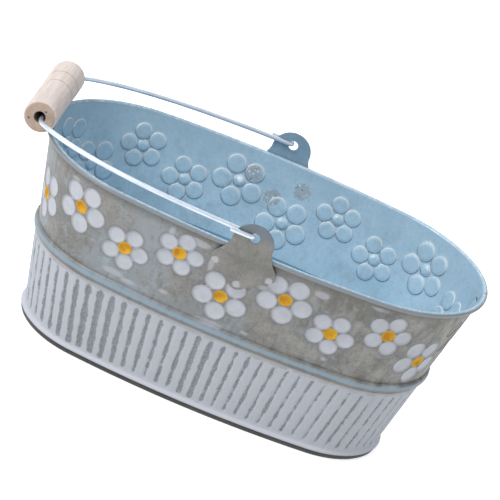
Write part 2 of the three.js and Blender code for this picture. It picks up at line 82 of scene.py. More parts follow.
def operator(operation: str, flip: bool = False) -> Callable[["Field", "Field | float"], "Field"]:
    """Make one of a field's operators.

    Args:
        operation: The Math node's operation.
        flip: Whether the field comes second, as in the reflected operators.

    Returns:
        The method.
    """
    def apply(field: "Field", other: "Field | float") -> "Field":
        """Join two values."""
        return field.math(operation, other, flip)

    return apply


@dataclass
class Field:
    """A single-value shader socket that can be used in Python expressions."""

    graph: "Graph"
    socket: Socket

    def math(self, operation: str, other: "Field | float | None" = None, flip: bool = False) -> "Field":
        """Add one Math node.

        Args:
            operation: The Math node's operation.
            other: The second operand, if the operation has one.
            flip: Whether this field is the second operand instead of the first.

        Returns:
            The node's result.
        """
        operands: list[object] = [self] if other is None else [self, other]
        if flip:
            operands.reverse()
        node = self.graph.node("ShaderNodeMath", {"operation": operation}, dict(enumerate(operands)))
        return Field(self.graph, node.outputs[0])

    __add__ = operator("ADD")
    __radd__ = operator("ADD", True)
    __sub__ = operator("SUBTRACT")
    __rsub__ = operator("SUBTRACT", True)
    __mul__ = operator("MULTIPLY")
    __rmul__ = operator("MULTIPLY", True)
    __truediv__ = operator("DIVIDE")
    __rtruediv__ = operator("DIVIDE", True)
    at_most = operator("MINIMUM")
    at_least = operator("MAXIMUM")

    def __abs__(self) -> "Field":
        """Absolute value."""
        return self.math("ABSOLUTE")

    def shift(self, width: float) -> "Field":
        """Noise turned into a shift of up to half a width either way."""
        return (self - 0.5) * width

    def step(self, low: "Field | float", high: "Field | float") -> "Field":
        """Smooth step from 0 at the low value to 1 at the high one."""
        inputs, settings = {0: self, 1: low, 2: high}, {"interpolation_type": "SMOOTHSTEP"}
        return Field(self.graph, self.graph.node("ShaderNodeMapRange", settings, inputs).outputs[0])


class Graph:
    """The node tree of a material or of the world, built from expressions."""

    def __init__(self, owner: Material | bpy.types.World) -> None:
        """Empty a tree to build in it.

        Args:
            owner: The new material or world.
        """
        owner.use_nodes = True
        self.owner = owner
        self.tree = owner.node_tree
        self.tree.nodes.clear()

    def node(self, kind: str, settings: dict, inputs: dict) -> bpy.types.Node:
        """Add a node.

        Args:
            kind: The node's type.
            settings: Properties that are set before the sockets.
            inputs: Values, fields or sockets by input name or index.

        Returns:
            The new node.
        """
        made = self.tree.nodes.new(kind)
        for key, value in settings.items():
            setattr(made, key, value)
        for key, value in inputs.items():
            source = value.socket if isinstance(value, Field) else value
            if isinstance(source, Socket):
                self.tree.links.new(source, made.inputs[key])
            else:
                made.inputs[key].default_value = source
        return made

    def place(self) -> Socket:
        """Object coordinates, in metres."""
        return self.node("ShaderNodeTexCoord", {}, {}).outputs["Object"]

    def axis(self, name: str) -> Field:
        """One object coordinate, X, Y or Z, in millimetres."""
        split = self.node("ShaderNodeSeparateXYZ", {}, {0: self.place()})
        return Field(self, split.outputs[name]) * (1.0 / MM)

    def stored(self, name: str) -> Field:
        """A value stored on the mesh's points."""
        node = self.node("ShaderNodeAttribute", {"attribute_name": name}, {})
        return Field(self, node.outputs["Fac"])

    def scaled(self, x: float, y: float, z: float) -> Socket:
        """Object coordinates stretched along the axes."""
        inputs = {"Vector": self.place(), "Scale": (x, y, z)}
        return self.node("ShaderNodeMapping", {"vector_type": "POINT"}, inputs).outputs[0]

    def noise(self, scale: float, detail: float = 3.0, rough: float = 0.55,
              at: Socket | None = None) -> Field:
        """Cloudy noise from 0 to 1, with so many cells per metre of the coordinates."""
        inputs = {"Vector": at or self.place(), "Scale": scale, "Detail": detail, "Roughness": rough}
        return Field(self, self.node("ShaderNodeTexNoise", {}, inputs).outputs[0])

    def cells(self, scale: float) -> Field:
        """Distance to the nearest cell seed, for the crystals of a zinc coat."""
        inputs = {"Vector": self.place(), "Scale": scale}
        return Field(self, self.node("ShaderNodeTexVoronoi", {}, inputs).outputs["Distance"])

    def mix(self, amount: Field, first: object, second: object) -> Socket:
        """Blend two colours.

        Args:
            amount: 0 for the first colour, 1 for the second.
            first: A colour or a colour socket.
            second: A colour or a colour socket.

        Returns:
            The blended colour.
        """
        ready = [(*c, 1.0) if isinstance(c, tuple) and len(c) == 3 else c for c in (first, second)]
        settings = {"data_type": "RGBA", "clamp_factor": True}
        inputs = {0: amount, 6: ready[0], 7: ready[1]}
        return self.node("ShaderNodeMix", settings, inputs).outputs[2]

    def layers(self, colour: Socket, coats: Sequence[tuple[Field, object]]) -> Socket:
        """Lay colours over each other.

        Args:
            colour: The lowest colour.
            coats: How far each next colour covers, and that colour.

        Returns:
            The colour on top.
        """
        for amount, tint in coats:
            colour = self.mix(amount, colour, tint)
        return colour

    def bump(self, height: Field, depth: float) -> Socket:
        """Normal from a relief of 0 to 1 and its depth in millimetres."""
        inputs = {"Strength": 1.0, "Distance": depth * MM, "Height": height}
        return self.node("ShaderNodeBump", {}, inputs).outputs[0]

    def finish(self, **inputs: object) -> Material:
        """Close the tree with one surface shader.

        Args:
            inputs: Values or sockets, by the shader's input names with _ for a space.

        Returns:
            The finished material.
        """
        named = {key.replace("_", " "): value for key, value in inputs.items()}
        shader = self.node("ShaderNodeBsdfPrincipled", {}, named)
        self.node("ShaderNodeOutputMaterial", {}, {0: shader.outputs[0]})
        return self.owner


@dataclass(frozen=True)
class ZincCoat:
    """Plain galvanised sheet, mottled and softly bright."""

    name: str
    light: Colour
    dark: Colour
    mottle: float = 26.0
    roughness: float = 0.5
    metallic: float = 0.35

    def base(self, graph: Graph) -> tuple[Socket, Field]:
        """Colour and relief of the bare coat.

        Args:
            graph: The material's graph.

        Returns:
            The colour and a fine height.
        """
        clouds = graph.noise(self.mottle, 5.0, 0.68)
        specks = graph.noise(520.0, 2.0, 0.6)
        grain = graph.noise(1500.0, 2.0, 0.5)
        tone = clouds.step(0.3, 0.72) * 0.5 + specks.step(0.3, 0.7) * 0.25 + grain.step(0.3, 0.7) * 0.25
        colour = graph.mix(tone, self.dark, self.light)
        return colour, grain * 0.5 + specks * 0.5

    def build(self) -> Material:
        """Make the material.

        Returns:
            The plain zinc.
        """
        graph = Graph(bpy.data.materials.new(self.name))
        colour, height = self.base(graph)
        rough = graph.noise(70.0, 3.0) * 0.2 + (self.roughness - 0.1)
        normal = graph.bump(height, 0.05)
        return graph.finish(Base_Color=colour, Roughness=rough, Metallic=self.metallic, Normal=normal)


@dataclass(frozen=True)
class PaintedZinc:
    """Outside of the walls: white petals, yellow centres and dry-brushed ribs over grey zinc."""

    name: str = "painted_zinc"
    light: Colour = (0.315, 0.302, 0.28)
    dark: Colour = (0.14, 0.137, 0.132)
    haze: Colour = (0.29, 0.335, 0.375)
    # Dark stains and grime; the same colour is also painted shade under the rolled rim.
    stain_and_rim_shade: Colour = (0.125, 0.12, 0.105)
    olive: Colour = (0.34, 0.33, 0.285)
    # Painted sky reflection along the top of the bead.
    bead_sky_reflection: Colour = (0.24, 0.33, 0.4)
    # Painted shade, for the shadow under the bead and round the pressed petals.
    painted_shade: Colour = (0.16, 0.17, 0.19)
    pinkish: Colour = (0.42, 0.395, 0.39)
    white: Colour = (0.57, 0.58, 0.63)
    rib_white: Colour = (0.52, 0.545, 0.6)
    shade: Colour = (0.42, 0.435, 0.47)
    # Painted shade at the edges of the painted petals.
    petal_rim_shade: Colour = (0.36, 0.345, 0.37)
    yellow: Colour = (0.68, 0.38, 0.012)
    orange: Colour = (0.56, 0.24, 0.005)
    groove_grey: Colour = (0.13, 0.132, 0.148)

    def build(self) -> Material:
        """Make the material.

        Returns:
            The painted zinc.
        """
        graph = Graph(bpy.data.materials.new(self.name))
        bare, height = ZincCoat("coat", self.light, self.dark, 30.0).base(graph)
        names = ("rise", "petal", "paint", "heart", "groove", "blot", "worn")
        rise, petal, paint, heart, groove, blot, worn = (graph.stored(name) for name in names)
        ragged = graph.noise(900.0, 3.0, 0.6)
        fine = graph.noise(2200.0, 2.0, 0.6)
        broad = graph.noise(130.0, 3.0, 0.6)
        wide = graph.noise(24.0, 3.0, 0.6)
        patchy = graph.noise(75.0, 5.0, 0.7)
        streak = graph.noise(1.0, 4.0, 0.65, graph.scaled(900.0, 900.0, 130.0))
        runs = graph.noise(1.0, 4.0, 0.7, graph.scaled(210.0, 210.0, 60.0))
        rightward = graph.axis("X").step(-60.0, 110.0)

        hazy = (wide.step(0.4, 0.62) * 0.55 + broad.step(0.5, 0.68) * 0.45) * (1.0 - rightward * 0.7)
        stained = runs.step(0.52, 0.68) * 0.55 + graph.noise(48.0, 5.0, 0.7).step(0.56, 0.68) * 0.4
        grime = runs.step(0.44, 0.6) * 0.3 + patchy.step(0.5, 0.6) * 0.5
        # Painted shade: a dark ring round each painted petal's pressed edge.
        petal_halo_shade = self.band(paint + ragged.shift(0.6), -0.3, 0.3, 0.6, 2.2)
        speckle = fine.step(0.35, 0.65) * 0.5 + ragged.step(0.4, 0.7) * 0.4
        metal = graph.layers(bare, (
            (hazy, self.haze),
            (stained * (1.0 - hazy * 0.6), self.stain_and_rim_shade),
            ((1.0 - patchy.step(0.36, 0.5)) * rightward * 0.6, self.olive),
            (grime * rightward, self.stain_and_rim_shade),
            # Painted shade: darker towards the top, under the rolled rim.
            (rise.step(117.0, 124.0) * 0.6, self.stain_and_rim_shade),
            (petal_halo_shade * 0.45, self.painted_shade),
            # Painted sky reflection: a light blue band over the bead's upper half.
            (self.band(rise, 60.8, 61.6, 63.4, 64.6) * 0.8, self.bead_sky_reflection),
            # Painted shadow under the bead.
            (self.band(rise, 57.8, 58.6, 60.2, 61.2) * 0.45, self.painted_shade),
            (self.band(rise, 53.0, 54.5, 57.4, 58.2) * 0.75, self.pinkish),
            ((1.0 - rise.step(55.0, 57.0)) * 0.9, graph.mix(speckle, self.groove_grey, self.shade)),
        ))

        below = 1.0 - (rise + ragged.shift(2.4) + broad.shift(5.0)).step(54.8, 57.6)
        edge = groove + streak.shift(2.2) + broad.shift(3.8) + fine.shift(0.7) - (worn - rightward * 0.1)
        ribs = below * edge.step(0.35, 1.15)
        leaf = 1.0 - (paint + ragged.shift(0.5) + fine.shift(0.4)).step(-0.12, 0.2)
        smear = 1.0 - (blot + broad.shift(2.2) + ragged.shift(1.8)).step(-0.7, 0.9)
        painted = leaf.at_least(smear * 0.55)
        dab = 1.0 - (heart + ragged.shift(0.9)).step(-0.15, 0.2)
        thin = fine.step(0.35, 0.65) * 0.35 + broad.step(0.4, 0.7) * 0.4
        brushed = graph.mix(thin, self.white, self.shade)
        # Painted shade greys the petals towards their pressed edges.
        rimmed = graph.mix((1.0 - abs(paint + 0.1).step(0.2, 1.3)) * 0.6, brushed, self.petal_rim_shade)
        chalky = streak.step(0.25, 0.75) * 0.35 + fine.step(0.35, 0.65) * 0.4
        dabbed = graph.mix(graph.noise(170.0, 3.0).step(0.42, 0.66), self.yellow, self.orange)
        colour = graph.layers(metal, (
            (ribs * 0.96, graph.mix(chalky, self.rib_white, self.shade)),
            ((1.0 - rise.step(5.0, 6.4)) * 0.6, self.white),
            (painted * 0.97, rimmed),
            (dab, dabbed),
        ))
        cover = painted.at_least(dab).at_least(ribs)
        pressed = petal.step(-0.3, 0.15)
        relief = height * 0.12 + cover * 0.2 + streak * cover * 0.12 + pressed * 0.55
        rough = 0.48 + cover * 0.2 + broad * 0.1
        normal = graph.bump(relief, 0.4)
        return graph.finish(
            Base_Color=colour, Roughness=rough, Metallic=(1.0 - cover) * 0.3, Normal=normal
        )

    @staticmethod
    def band(value: Field, low: float, full: float, fall: float, high: float) -> Field:
        """Band that rises from the low value to the full one and ends between the last two."""
        return value.step(low, full) * (1.0 - value.step(fall, high))


@dataclass(frozen=True)
class ScorchedZinc:
    """Inside of the walls: zinc painted blue for the sky's reflection, with burnt spots behind the welds
    and painted shade and highlights.
    """

    name: str = "inner_zinc"
    # Light and dark blue-grey: the zinc with the sky's reflection painted into it.
    light: Colour = (0.54, 0.74, 0.87)
    dark: Colour = (0.37, 0.54, 0.66)
    burnt: Colour = (0.24, 0.26, 0.28)
    scorched: Colour = (0.33, 0.35, 0.37)
    char: Colour = (0.06, 0.065, 0.07)
    # Painted shade: darker towards the top and the left, round the petals' lower sides and on the rim's
    # left.
    inner_shade: Colour = (0.2, 0.3, 0.385)
    # Used for painted highlights (the glint on one dome and the petals' upper edges) and for bright
    # specks and scuffs.
    bright: Colour = (0.85, 0.9, 0.93)
    # Painted highlight on the top of the rolled rim.
    rim: Colour = (0.38, 0.52, 0.64)
    # Painted shade, for the shadow along the lapped seam and under the rolled rim.
    painted_shade: Colour = (0.21, 0.23, 0.25)

    def build(self) -> Material:
        """Make the material.

        Returns:
            The zinc of the walls' insides.
        """
        graph = Graph(bpy.data.materials.new(self.name))
        bare, height = ZincCoat("inner", self.light, self.dark, 45.0).base(graph)
        names = ("rise", "petal", "kernel", "crown", "weld", "gleam", "seam", "curl")
        rise, petal, kernel, crown, weld, gleam, seam, curl = (graph.stored(name) for name in names)
        dull = graph.noise(70.0, 5.0, 0.7).step(0.5, 0.66)
        fine = graph.noise(330.0, 3.0, 0.65).step(0.5, 0.72)
        high = rise.step(80.0, 128.0)
        leftward = 1.0 - graph.axis("X").step(-130.0, 20.0)
        spot = 1.0 - (weld + graph.noise(260.0, 4.0, 0.7).shift(9.0)).step(4.6, 6.8)
        speck = graph.noise(420.0, 3.0, 0.7).step(0.57, 0.63) * spot
        charred = graph.noise(300.0, 3.0, 0.65).step(0.6, 0.66) * spot
        spangle = graph.cells(260.0).step(0.15, 0.7)
        dome = petal.at_most(kernel)
        # Painted light round the inner petals: shade on their lower sides, a highlight on their upper
        # sides.
        upper = crown.step(-0.5, 0.5)
        around = 1.0 - abs(dome - 0.45).step(0.05, 0.7)
        petal_highlight = 1.0 - abs(dome + 0.05).step(0.1, 0.7)
        scuffed = graph.noise(300.0, 4.0, 0.7).step(0.4, 0.65)
        rolled = curl.step(0.02, 0.1)
        colour = graph.layers(bare, (
            (dull * 0.2 + fine * 0.2, self.burnt),
            # Painted shade, darker towards the top and to the left.
            (high * 0.34 + high * leftward * 0.15, self.inner_shade),
            (spot * 0.7, self.scorched),
            (speck * 0.85, self.bright),
            (charred * 0.7, self.char),
            (1.0 - gleam.step(-0.6, 0.5), self.bright),
            # Painted shadow along the lapped seam's edges.
            ((1.0 - seam.step(0.4, 1.3)) * 0.75, self.painted_shade),
            (spangle * 0.12, self.dark),
            (around * (0.75 - upper * 0.5), self.inner_shade),
            (petal_highlight * (0.12 + upper * 0.75), self.bright),
            # Painted highlight on the rim's top, with painted shade towards the left.
            (rolled * 0.85, self.rim),
            (rolled * leftward * 0.45, self.inner_shade),
            (curl.step(0.1, 0.2) * scuffed * 0.35, self.bright),
            # Painted shade under the rolled rim.
            (curl.step(0.42, 0.6) * 0.95, self.painted_shade),
        ))
        rough = graph.noise(60.0, 3.0) * 0.16 + 0.36
        ridge = (1.0 - abs(dome + 0.1).step(0.0, 0.5)) * 0.45
        relief = height * 0.12 + ridge + (1.0 - dome.step(-0.25, 0.3)) * 0.75
        normal = graph.bump(relief, 0.5)
        return graph.finish(Base_Color=colour, Roughness=rough, Metallic=0.2, Normal=normal)


@dataclass(frozen=True)
class WeldedZinc:
    """Ears: olive grey zinc with dabs of white paint on the weld marks."""

    name: str = "ear_zinc"
    light: Colour = (0.29, 0.28, 0.265)
    dark: Colour = (0.15, 0.147, 0.135)
    # Painted sky reflection: the tab turns blue-grey towards its top.
    top: Colour = (0.13, 0.168, 0.2)
    white: Colour = (0.5, 0.5, 0.52)

    def build(self) -> Material:
        """Make the material.

        Returns:
            The ears' zinc.
        """
        graph = Graph(bpy.data.materials.new(self.name))
        bare, height = ZincCoat("ear", self.light, self.dark, 60.0).base(graph)
        spots = graph.noise(170.0, 4.0, 0.65).step(0.5, 0.66)
        ragged = graph.noise(500.0, 3.0, 0.6)
        dab = 1.0 - (graph.stored("weld") + ragged.shift(2.6)).step(1.8, 3.0)
        colour = graph.layers(bare, (
            (spots * 0.5, self.dark),
            # Painted sky reflection towards the tab's top.
            (graph.axis("Z").step(133.0, 144.0) * 0.85, self.top),
            (dab * 0.7, self.white),
        ))
        normal = graph.bump(height, 0.05)
        return graph.finish(Base_Color=colour, Roughness=0.5, Metallic=0.35, Normal=normal)


@dataclass(frozen=True)
class BrightWire:
    """Bright zinc-plated wire."""

    name: str = "bright_wire"
    light: Colour = (0.7, 0.76, 0.86)
    dark: Colour = (0.42, 0.48, 0.6)

    def build(self) -> Material:
        """Make the material.

        Returns:
            The wire's zinc.
        """
        graph = Graph(bpy.data.materials.new(self.name))
        wear = graph.noise(90.0, 2.0, 0.5)
        colour = graph.mix(wear.step(0.3, 0.75) * 0.35, self.light, self.dark)
        return graph.finish(Base_Color=colour, Roughness=wear * 0.1 + 0.3, Metallic=0.7)


@dataclass(frozen=True)
class TurnedWood:
    """Pale unvarnished wood with fine lengthwise grain, browner end grain, pores and painted shade in the
    bore.
    """

    half: float
    name: str = "turned_wood"
    pale: Colour = (0.74, 0.65, 0.61)
    grain: Colour = (0.58, 0.47, 0.42)
    end: Colour = (0.38, 0.275, 0.2)
    pore: Colour = (0.07, 0.045, 0.035)

    def build(self) -> Material:
        """Make the material.

        Returns:
            The grip's wood.
        """
        graph = Graph(bpy.data.materials.new(self.name))
        lines = graph.noise(1.0, 3.0, 0.6, graph.scaled(420.0, 34.0, 420.0))
        fibre = graph.noise(1.0, 2.0, 0.6, graph.scaled(1500.0, 90.0, 1500.0))
        tone = lines.step(0.34, 0.68) * 0.5 + fibre.step(0.4, 0.75) * 0.35
        outward = abs(graph.axis("Y")).step(self.half - 0.6, self.half - 0.1)
        mottled = graph.noise(260.0, 3.0, 0.6).step(0.3, 0.7)
        colour = graph.layers(graph.mix(tone, self.pale, self.grain), (
            (outward * 0.9, graph.mix(mottled * 0.35, self.end, self.grain)),
            # Painted shade in the two lathe lines.
            (graph.stored("turned") * 0.7, self.end),
            # Painted shade: the bore is coloured near-black.
            (1.0 - graph.stored("ring").step(3.5, 4.0), self.pore),
            (1.0 - graph.stored("pore").step(0.5, 0.9), self.pore),
        ))
        normal = graph.bump(lines * 0.6 + fibre * 0.4, 0.12)
        return graph.finish(
            Base_Color=colour, Roughness=0.62, Specular_IOR_Level=0.3, Normal=normal
        )


def keep_mesh(bm: bmesh.types.BMesh, name: str, sharp_deg: float = 40.0) -> Object:
    """Write a bmesh to a new object with smooth faces and sharp creases.

    Args:
        bm: The finished bmesh, which is freed.
        name: The object's name.
        sharp_deg: Edges bent more than this stay sharp.

    Returns:
        The linked object.
    """
    limit = math.radians(sharp_deg)
    for face in bm.faces:
        face.smooth = True
    for edge in bm.edges:
        edge.smooth = not (edge.is_manifold and edge.calc_face_angle(0.0) > limit)
    mesh = bpy.data.meshes.new(name)
    bm.to_mesh(mesh)
    bm.free()
    made = bpy.data.objects.new(name, mesh)
    bpy.context.scene.collection.objects.link(made)
    return made


def store(piece: Object, name: str, values: Array) -> None:
    """Store one number on each point of a piece."""
    layer = piece.data.attributes.new(name, "FLOAT", "POINT")
    layer.data.foreach_set("value", np.asarray(values, dtype=np.float32))


def points_of(piece: Object) -> Array:
    """Read a piece's vertex positions.

    Args:
        piece: The object.

    Returns:
        Rows of x, y and z in millimetres.
    """
    flat = np.empty(len(piece.data.vertices) * 3, dtype=np.float64)
    piece.data.vertices.foreach_get("co", flat)
    return flat.reshape(-1, 3) / MM


def solidify(piece: Object, thickness: float, inner_slot: int = 0) -> None:
    """Give a sheet its thickness, inwards from the modelled face.

    Args:
        piece: The sheet.
        thickness: In millimetres.
        inner_slot: How many material slots further on the inner side is.
    """
    skin = piece.modifiers.new("sheet", "SOLIDIFY")
    skin.thickness = thickness * MM
    skin.offset = -1.0
    skin.use_even_offset = True
    skin.material_offset = inner_slot


def grid(columns: int, rows: int) -> bmesh.types.BMesh:
    """Start a piece as a flat grid from -0.5 to 0.5 both ways.

    Args:
        columns: Faces along x.
        rows: Faces along y.

    Returns:
        The grid, to be bent.
    """
    bm = bmesh.new()
    bmesh.ops.create_grid(bm, x_segments=columns, y_segments=rows, size=0.5)
    return bm


def close(bm: bmesh.types.BMesh, capped: bool = False) -> None:
    """Join a bent grid's meeting edges and make its faces agree.

    Args:
        bm: The bent grid.
        capped: Whether open ends are filled.
    """
    bmesh.ops.remove_doubles(bm, verts=bm.verts, dist=MM * MM)
    if capped:
        bmesh.ops.holes_fill(bm, edges=bm.edges, sides=0)
    bmesh.ops.recalc_face_normals(bm, faces=bm.faces)


def smooth_step(low: float, high: float, value: Values) -> Values:
    """Smooth step from 0 at low to 1 at high."""
    t = np.clip((value - low) / (high - low), 0.0, 1.0)
    return t * t * (3.0 - 2.0 * t)


class Side(Enum):
    """Which half of the bucket a pressed piece is on."""

    FRONT = "front"
    BACK = "back"

    @property
    def turn(self) -> float:
        """1 in front; -1 behind, where a piece is turned by half a turn."""
        return 1.0 if self is Side.FRONT else -1.0


@dataclass
class OvalPlan:
    """The four-arc oval over the rolled rim, with its sloping wall."""

    length: float
    width: float
    height: float
    centre_x: float
    roundness: float = 0.93
    sheet: float = 0.6
    rim_radius: float = 1.7
    upper_slope: float = 0.207
    lower_slope: float = 0.198
    bead_z: float = 62.5
    bead_half: float = 3.2
    bead_proud: float = 2.0
    lower_step: float = 1.3

    def __post_init__(self) -> None:
        """Work out the arcs."""
        self.end_radius = self.width / 2 * self.roundness
        self.end_x = self.length / 2 - self.end_radius
        half = self.width / 2
        spread = self.end_x**2 + half**2 - self.end_radius**2
        self.side_radius = spread / (2 * (half - self.end_radius))
        self.side_y = self.side_radius - half
        self.side_angle = math.pi / 2 - math.atan2(self.side_y, self.end_x)
        self.end_angle = math.pi / 2 - self.side_angle
        self.rim_z = self.height - self.rim_radius

    def quarter(self, inward: float) -> float:
        """Length of a quarter of the oval at an inward distance."""
        return (self.side_radius - inward) * self.side_angle + (self.end_radius - inward) * self.end_angle

    def face(self, z: Values) -> Array:
        """Inward distance of the plain outer face.

        Args:
            z: Heights.

        Returns:
            Distances from the rim's outer edge.
        """
        top = 2 * self.rim_radius - self.sheet
        upper = top + self.upper_slope * (self.rim_z - z)
        low_z = self.bead_z - self.bead_half
        start = top + self.upper_slope * (self.rim_z - low_z) - self.lower_step
        lower = start + self.lower_slope * (low_z - z)
        return np.where(z >= self.bead_z, upper, lower)

    def inset(self, z: float) -> float:
        """The plain face's inward distance at one height."""
        return float(self.face(z))

    def angle(self, along: Values, inward: Values) -> Array:
        """Direction of the wall's normal, from the middle of the front.

        Args:
            along: Lengths along the wall.
            inward: How far inwards they are measured.

        Returns:
            Angles in radians.
        """
        side = (self.side_radius - inward) * self.side_angle
        near_turn = along / (self.side_radius - inward)
        far_turn = self.side_angle + (np.abs(along) - side) / (self.end_radius - inward)
        return np.where(np.abs(along) > side, np.sign(along) * far_turn, near_turn)

    def along(self, angle: Values, inward: Values) -> Array:
        """Length along the wall, the reverse of angle().

        Args:
            angle: Directions of the normal.
            inward: How far inwards the lengths are measured.

        Returns:
            Lengths in millimetres.
        """
        side = np.minimum(np.abs(angle), self.side_angle) * (self.side_radius - inward)
        end = np.maximum(np.abs(angle) - self.side_angle, 0.0) * (self.end_radius - inward)
        return np.sign(angle) * (side + end)

    def point(self, angle: Values, inward: Values, side: Side) -> tuple[Array, Array]:
        """Place on the plan.

        Args:
            angle: Direction of the normal, from the middle of the front.
            inward: Distance inwards from the rim's outer edge.
            side: Front, or back for the same place half a turn round.

        Returns:
            The x and y coordinates.
        """
        at_end = np.abs(angle) > self.side_angle
        radius = np.where(at_end, self.end_radius, self.side_radius) - inward
        x = np.where(at_end, np.sign(angle) * self.end_x, 0.0) + radius * np.sin(angle)
        y = np.where(at_end, 0.0, self.side_y) - radius * np.cos(angle)
        return self.centre_x + side.turn * x, side.turn * y


@dataclass(frozen=True)
class Flower:
    """One pressed flower: its place on the half wall, size, turn and whether it is painted."""

    along: float
    up: float
    scale: float
    turn: float
    painted: bool = True


SMALL = 0.86
FLOWERS = tuple(Flower(*row) for row in (
    (-0.836, 0.414, 1.0, -18), (-0.612, 0.614, 1.0, -8), (-0.423, 0.441, SMALL, -4),
    (-0.234, 0.650, SMALL, 6), (-0.053, 0.388, 1.0, -19), (0.153, 0.627, 1.0, -11),
    (0.347, 0.443, SMALL, -7), (0.527, 0.626, SMALL, 0), (0.722, 0.344, 1.0, -21),
    (0.868, 0.600, 1.0, -8, False),
))

# Stray brush marks of the front: length along the wall, height, half width and half height.
BLOTS = (
    (-74.0, 71.5, 6.5, 2.2), (-62.0, 69.5, 4.5, 1.6), (-31.0, 118.0, 8.0, 2.4),
    (-18.5, 108.5, 1.8, 5.0), (-5.0, 66.5, 8.0, 1.6), (19.0, 106.0, 6.0, 1.8),
    (51.0, 116.5, 4.5, 2.2), (-48.0, 117.0, 1.6, 3.6), (-40.0, 74.0, 3.0, 1.4),
    (16.0, 69.0, 2.6, 1.3), (-118.0, 118.0, 3.0, 1.6), (88.0, 121.0, 5.0, 1.3),
    (118.0, 64.5, 6.0, 1.3), (68.0, 72.0, 1.6, 1.2),
)

# Where the ribs' paint is rubbed off: how much, and the middle and spread along the wall.
RUBBED = ((1.1, -75.0, 24.0), (1.0, -4.0, 7.0))


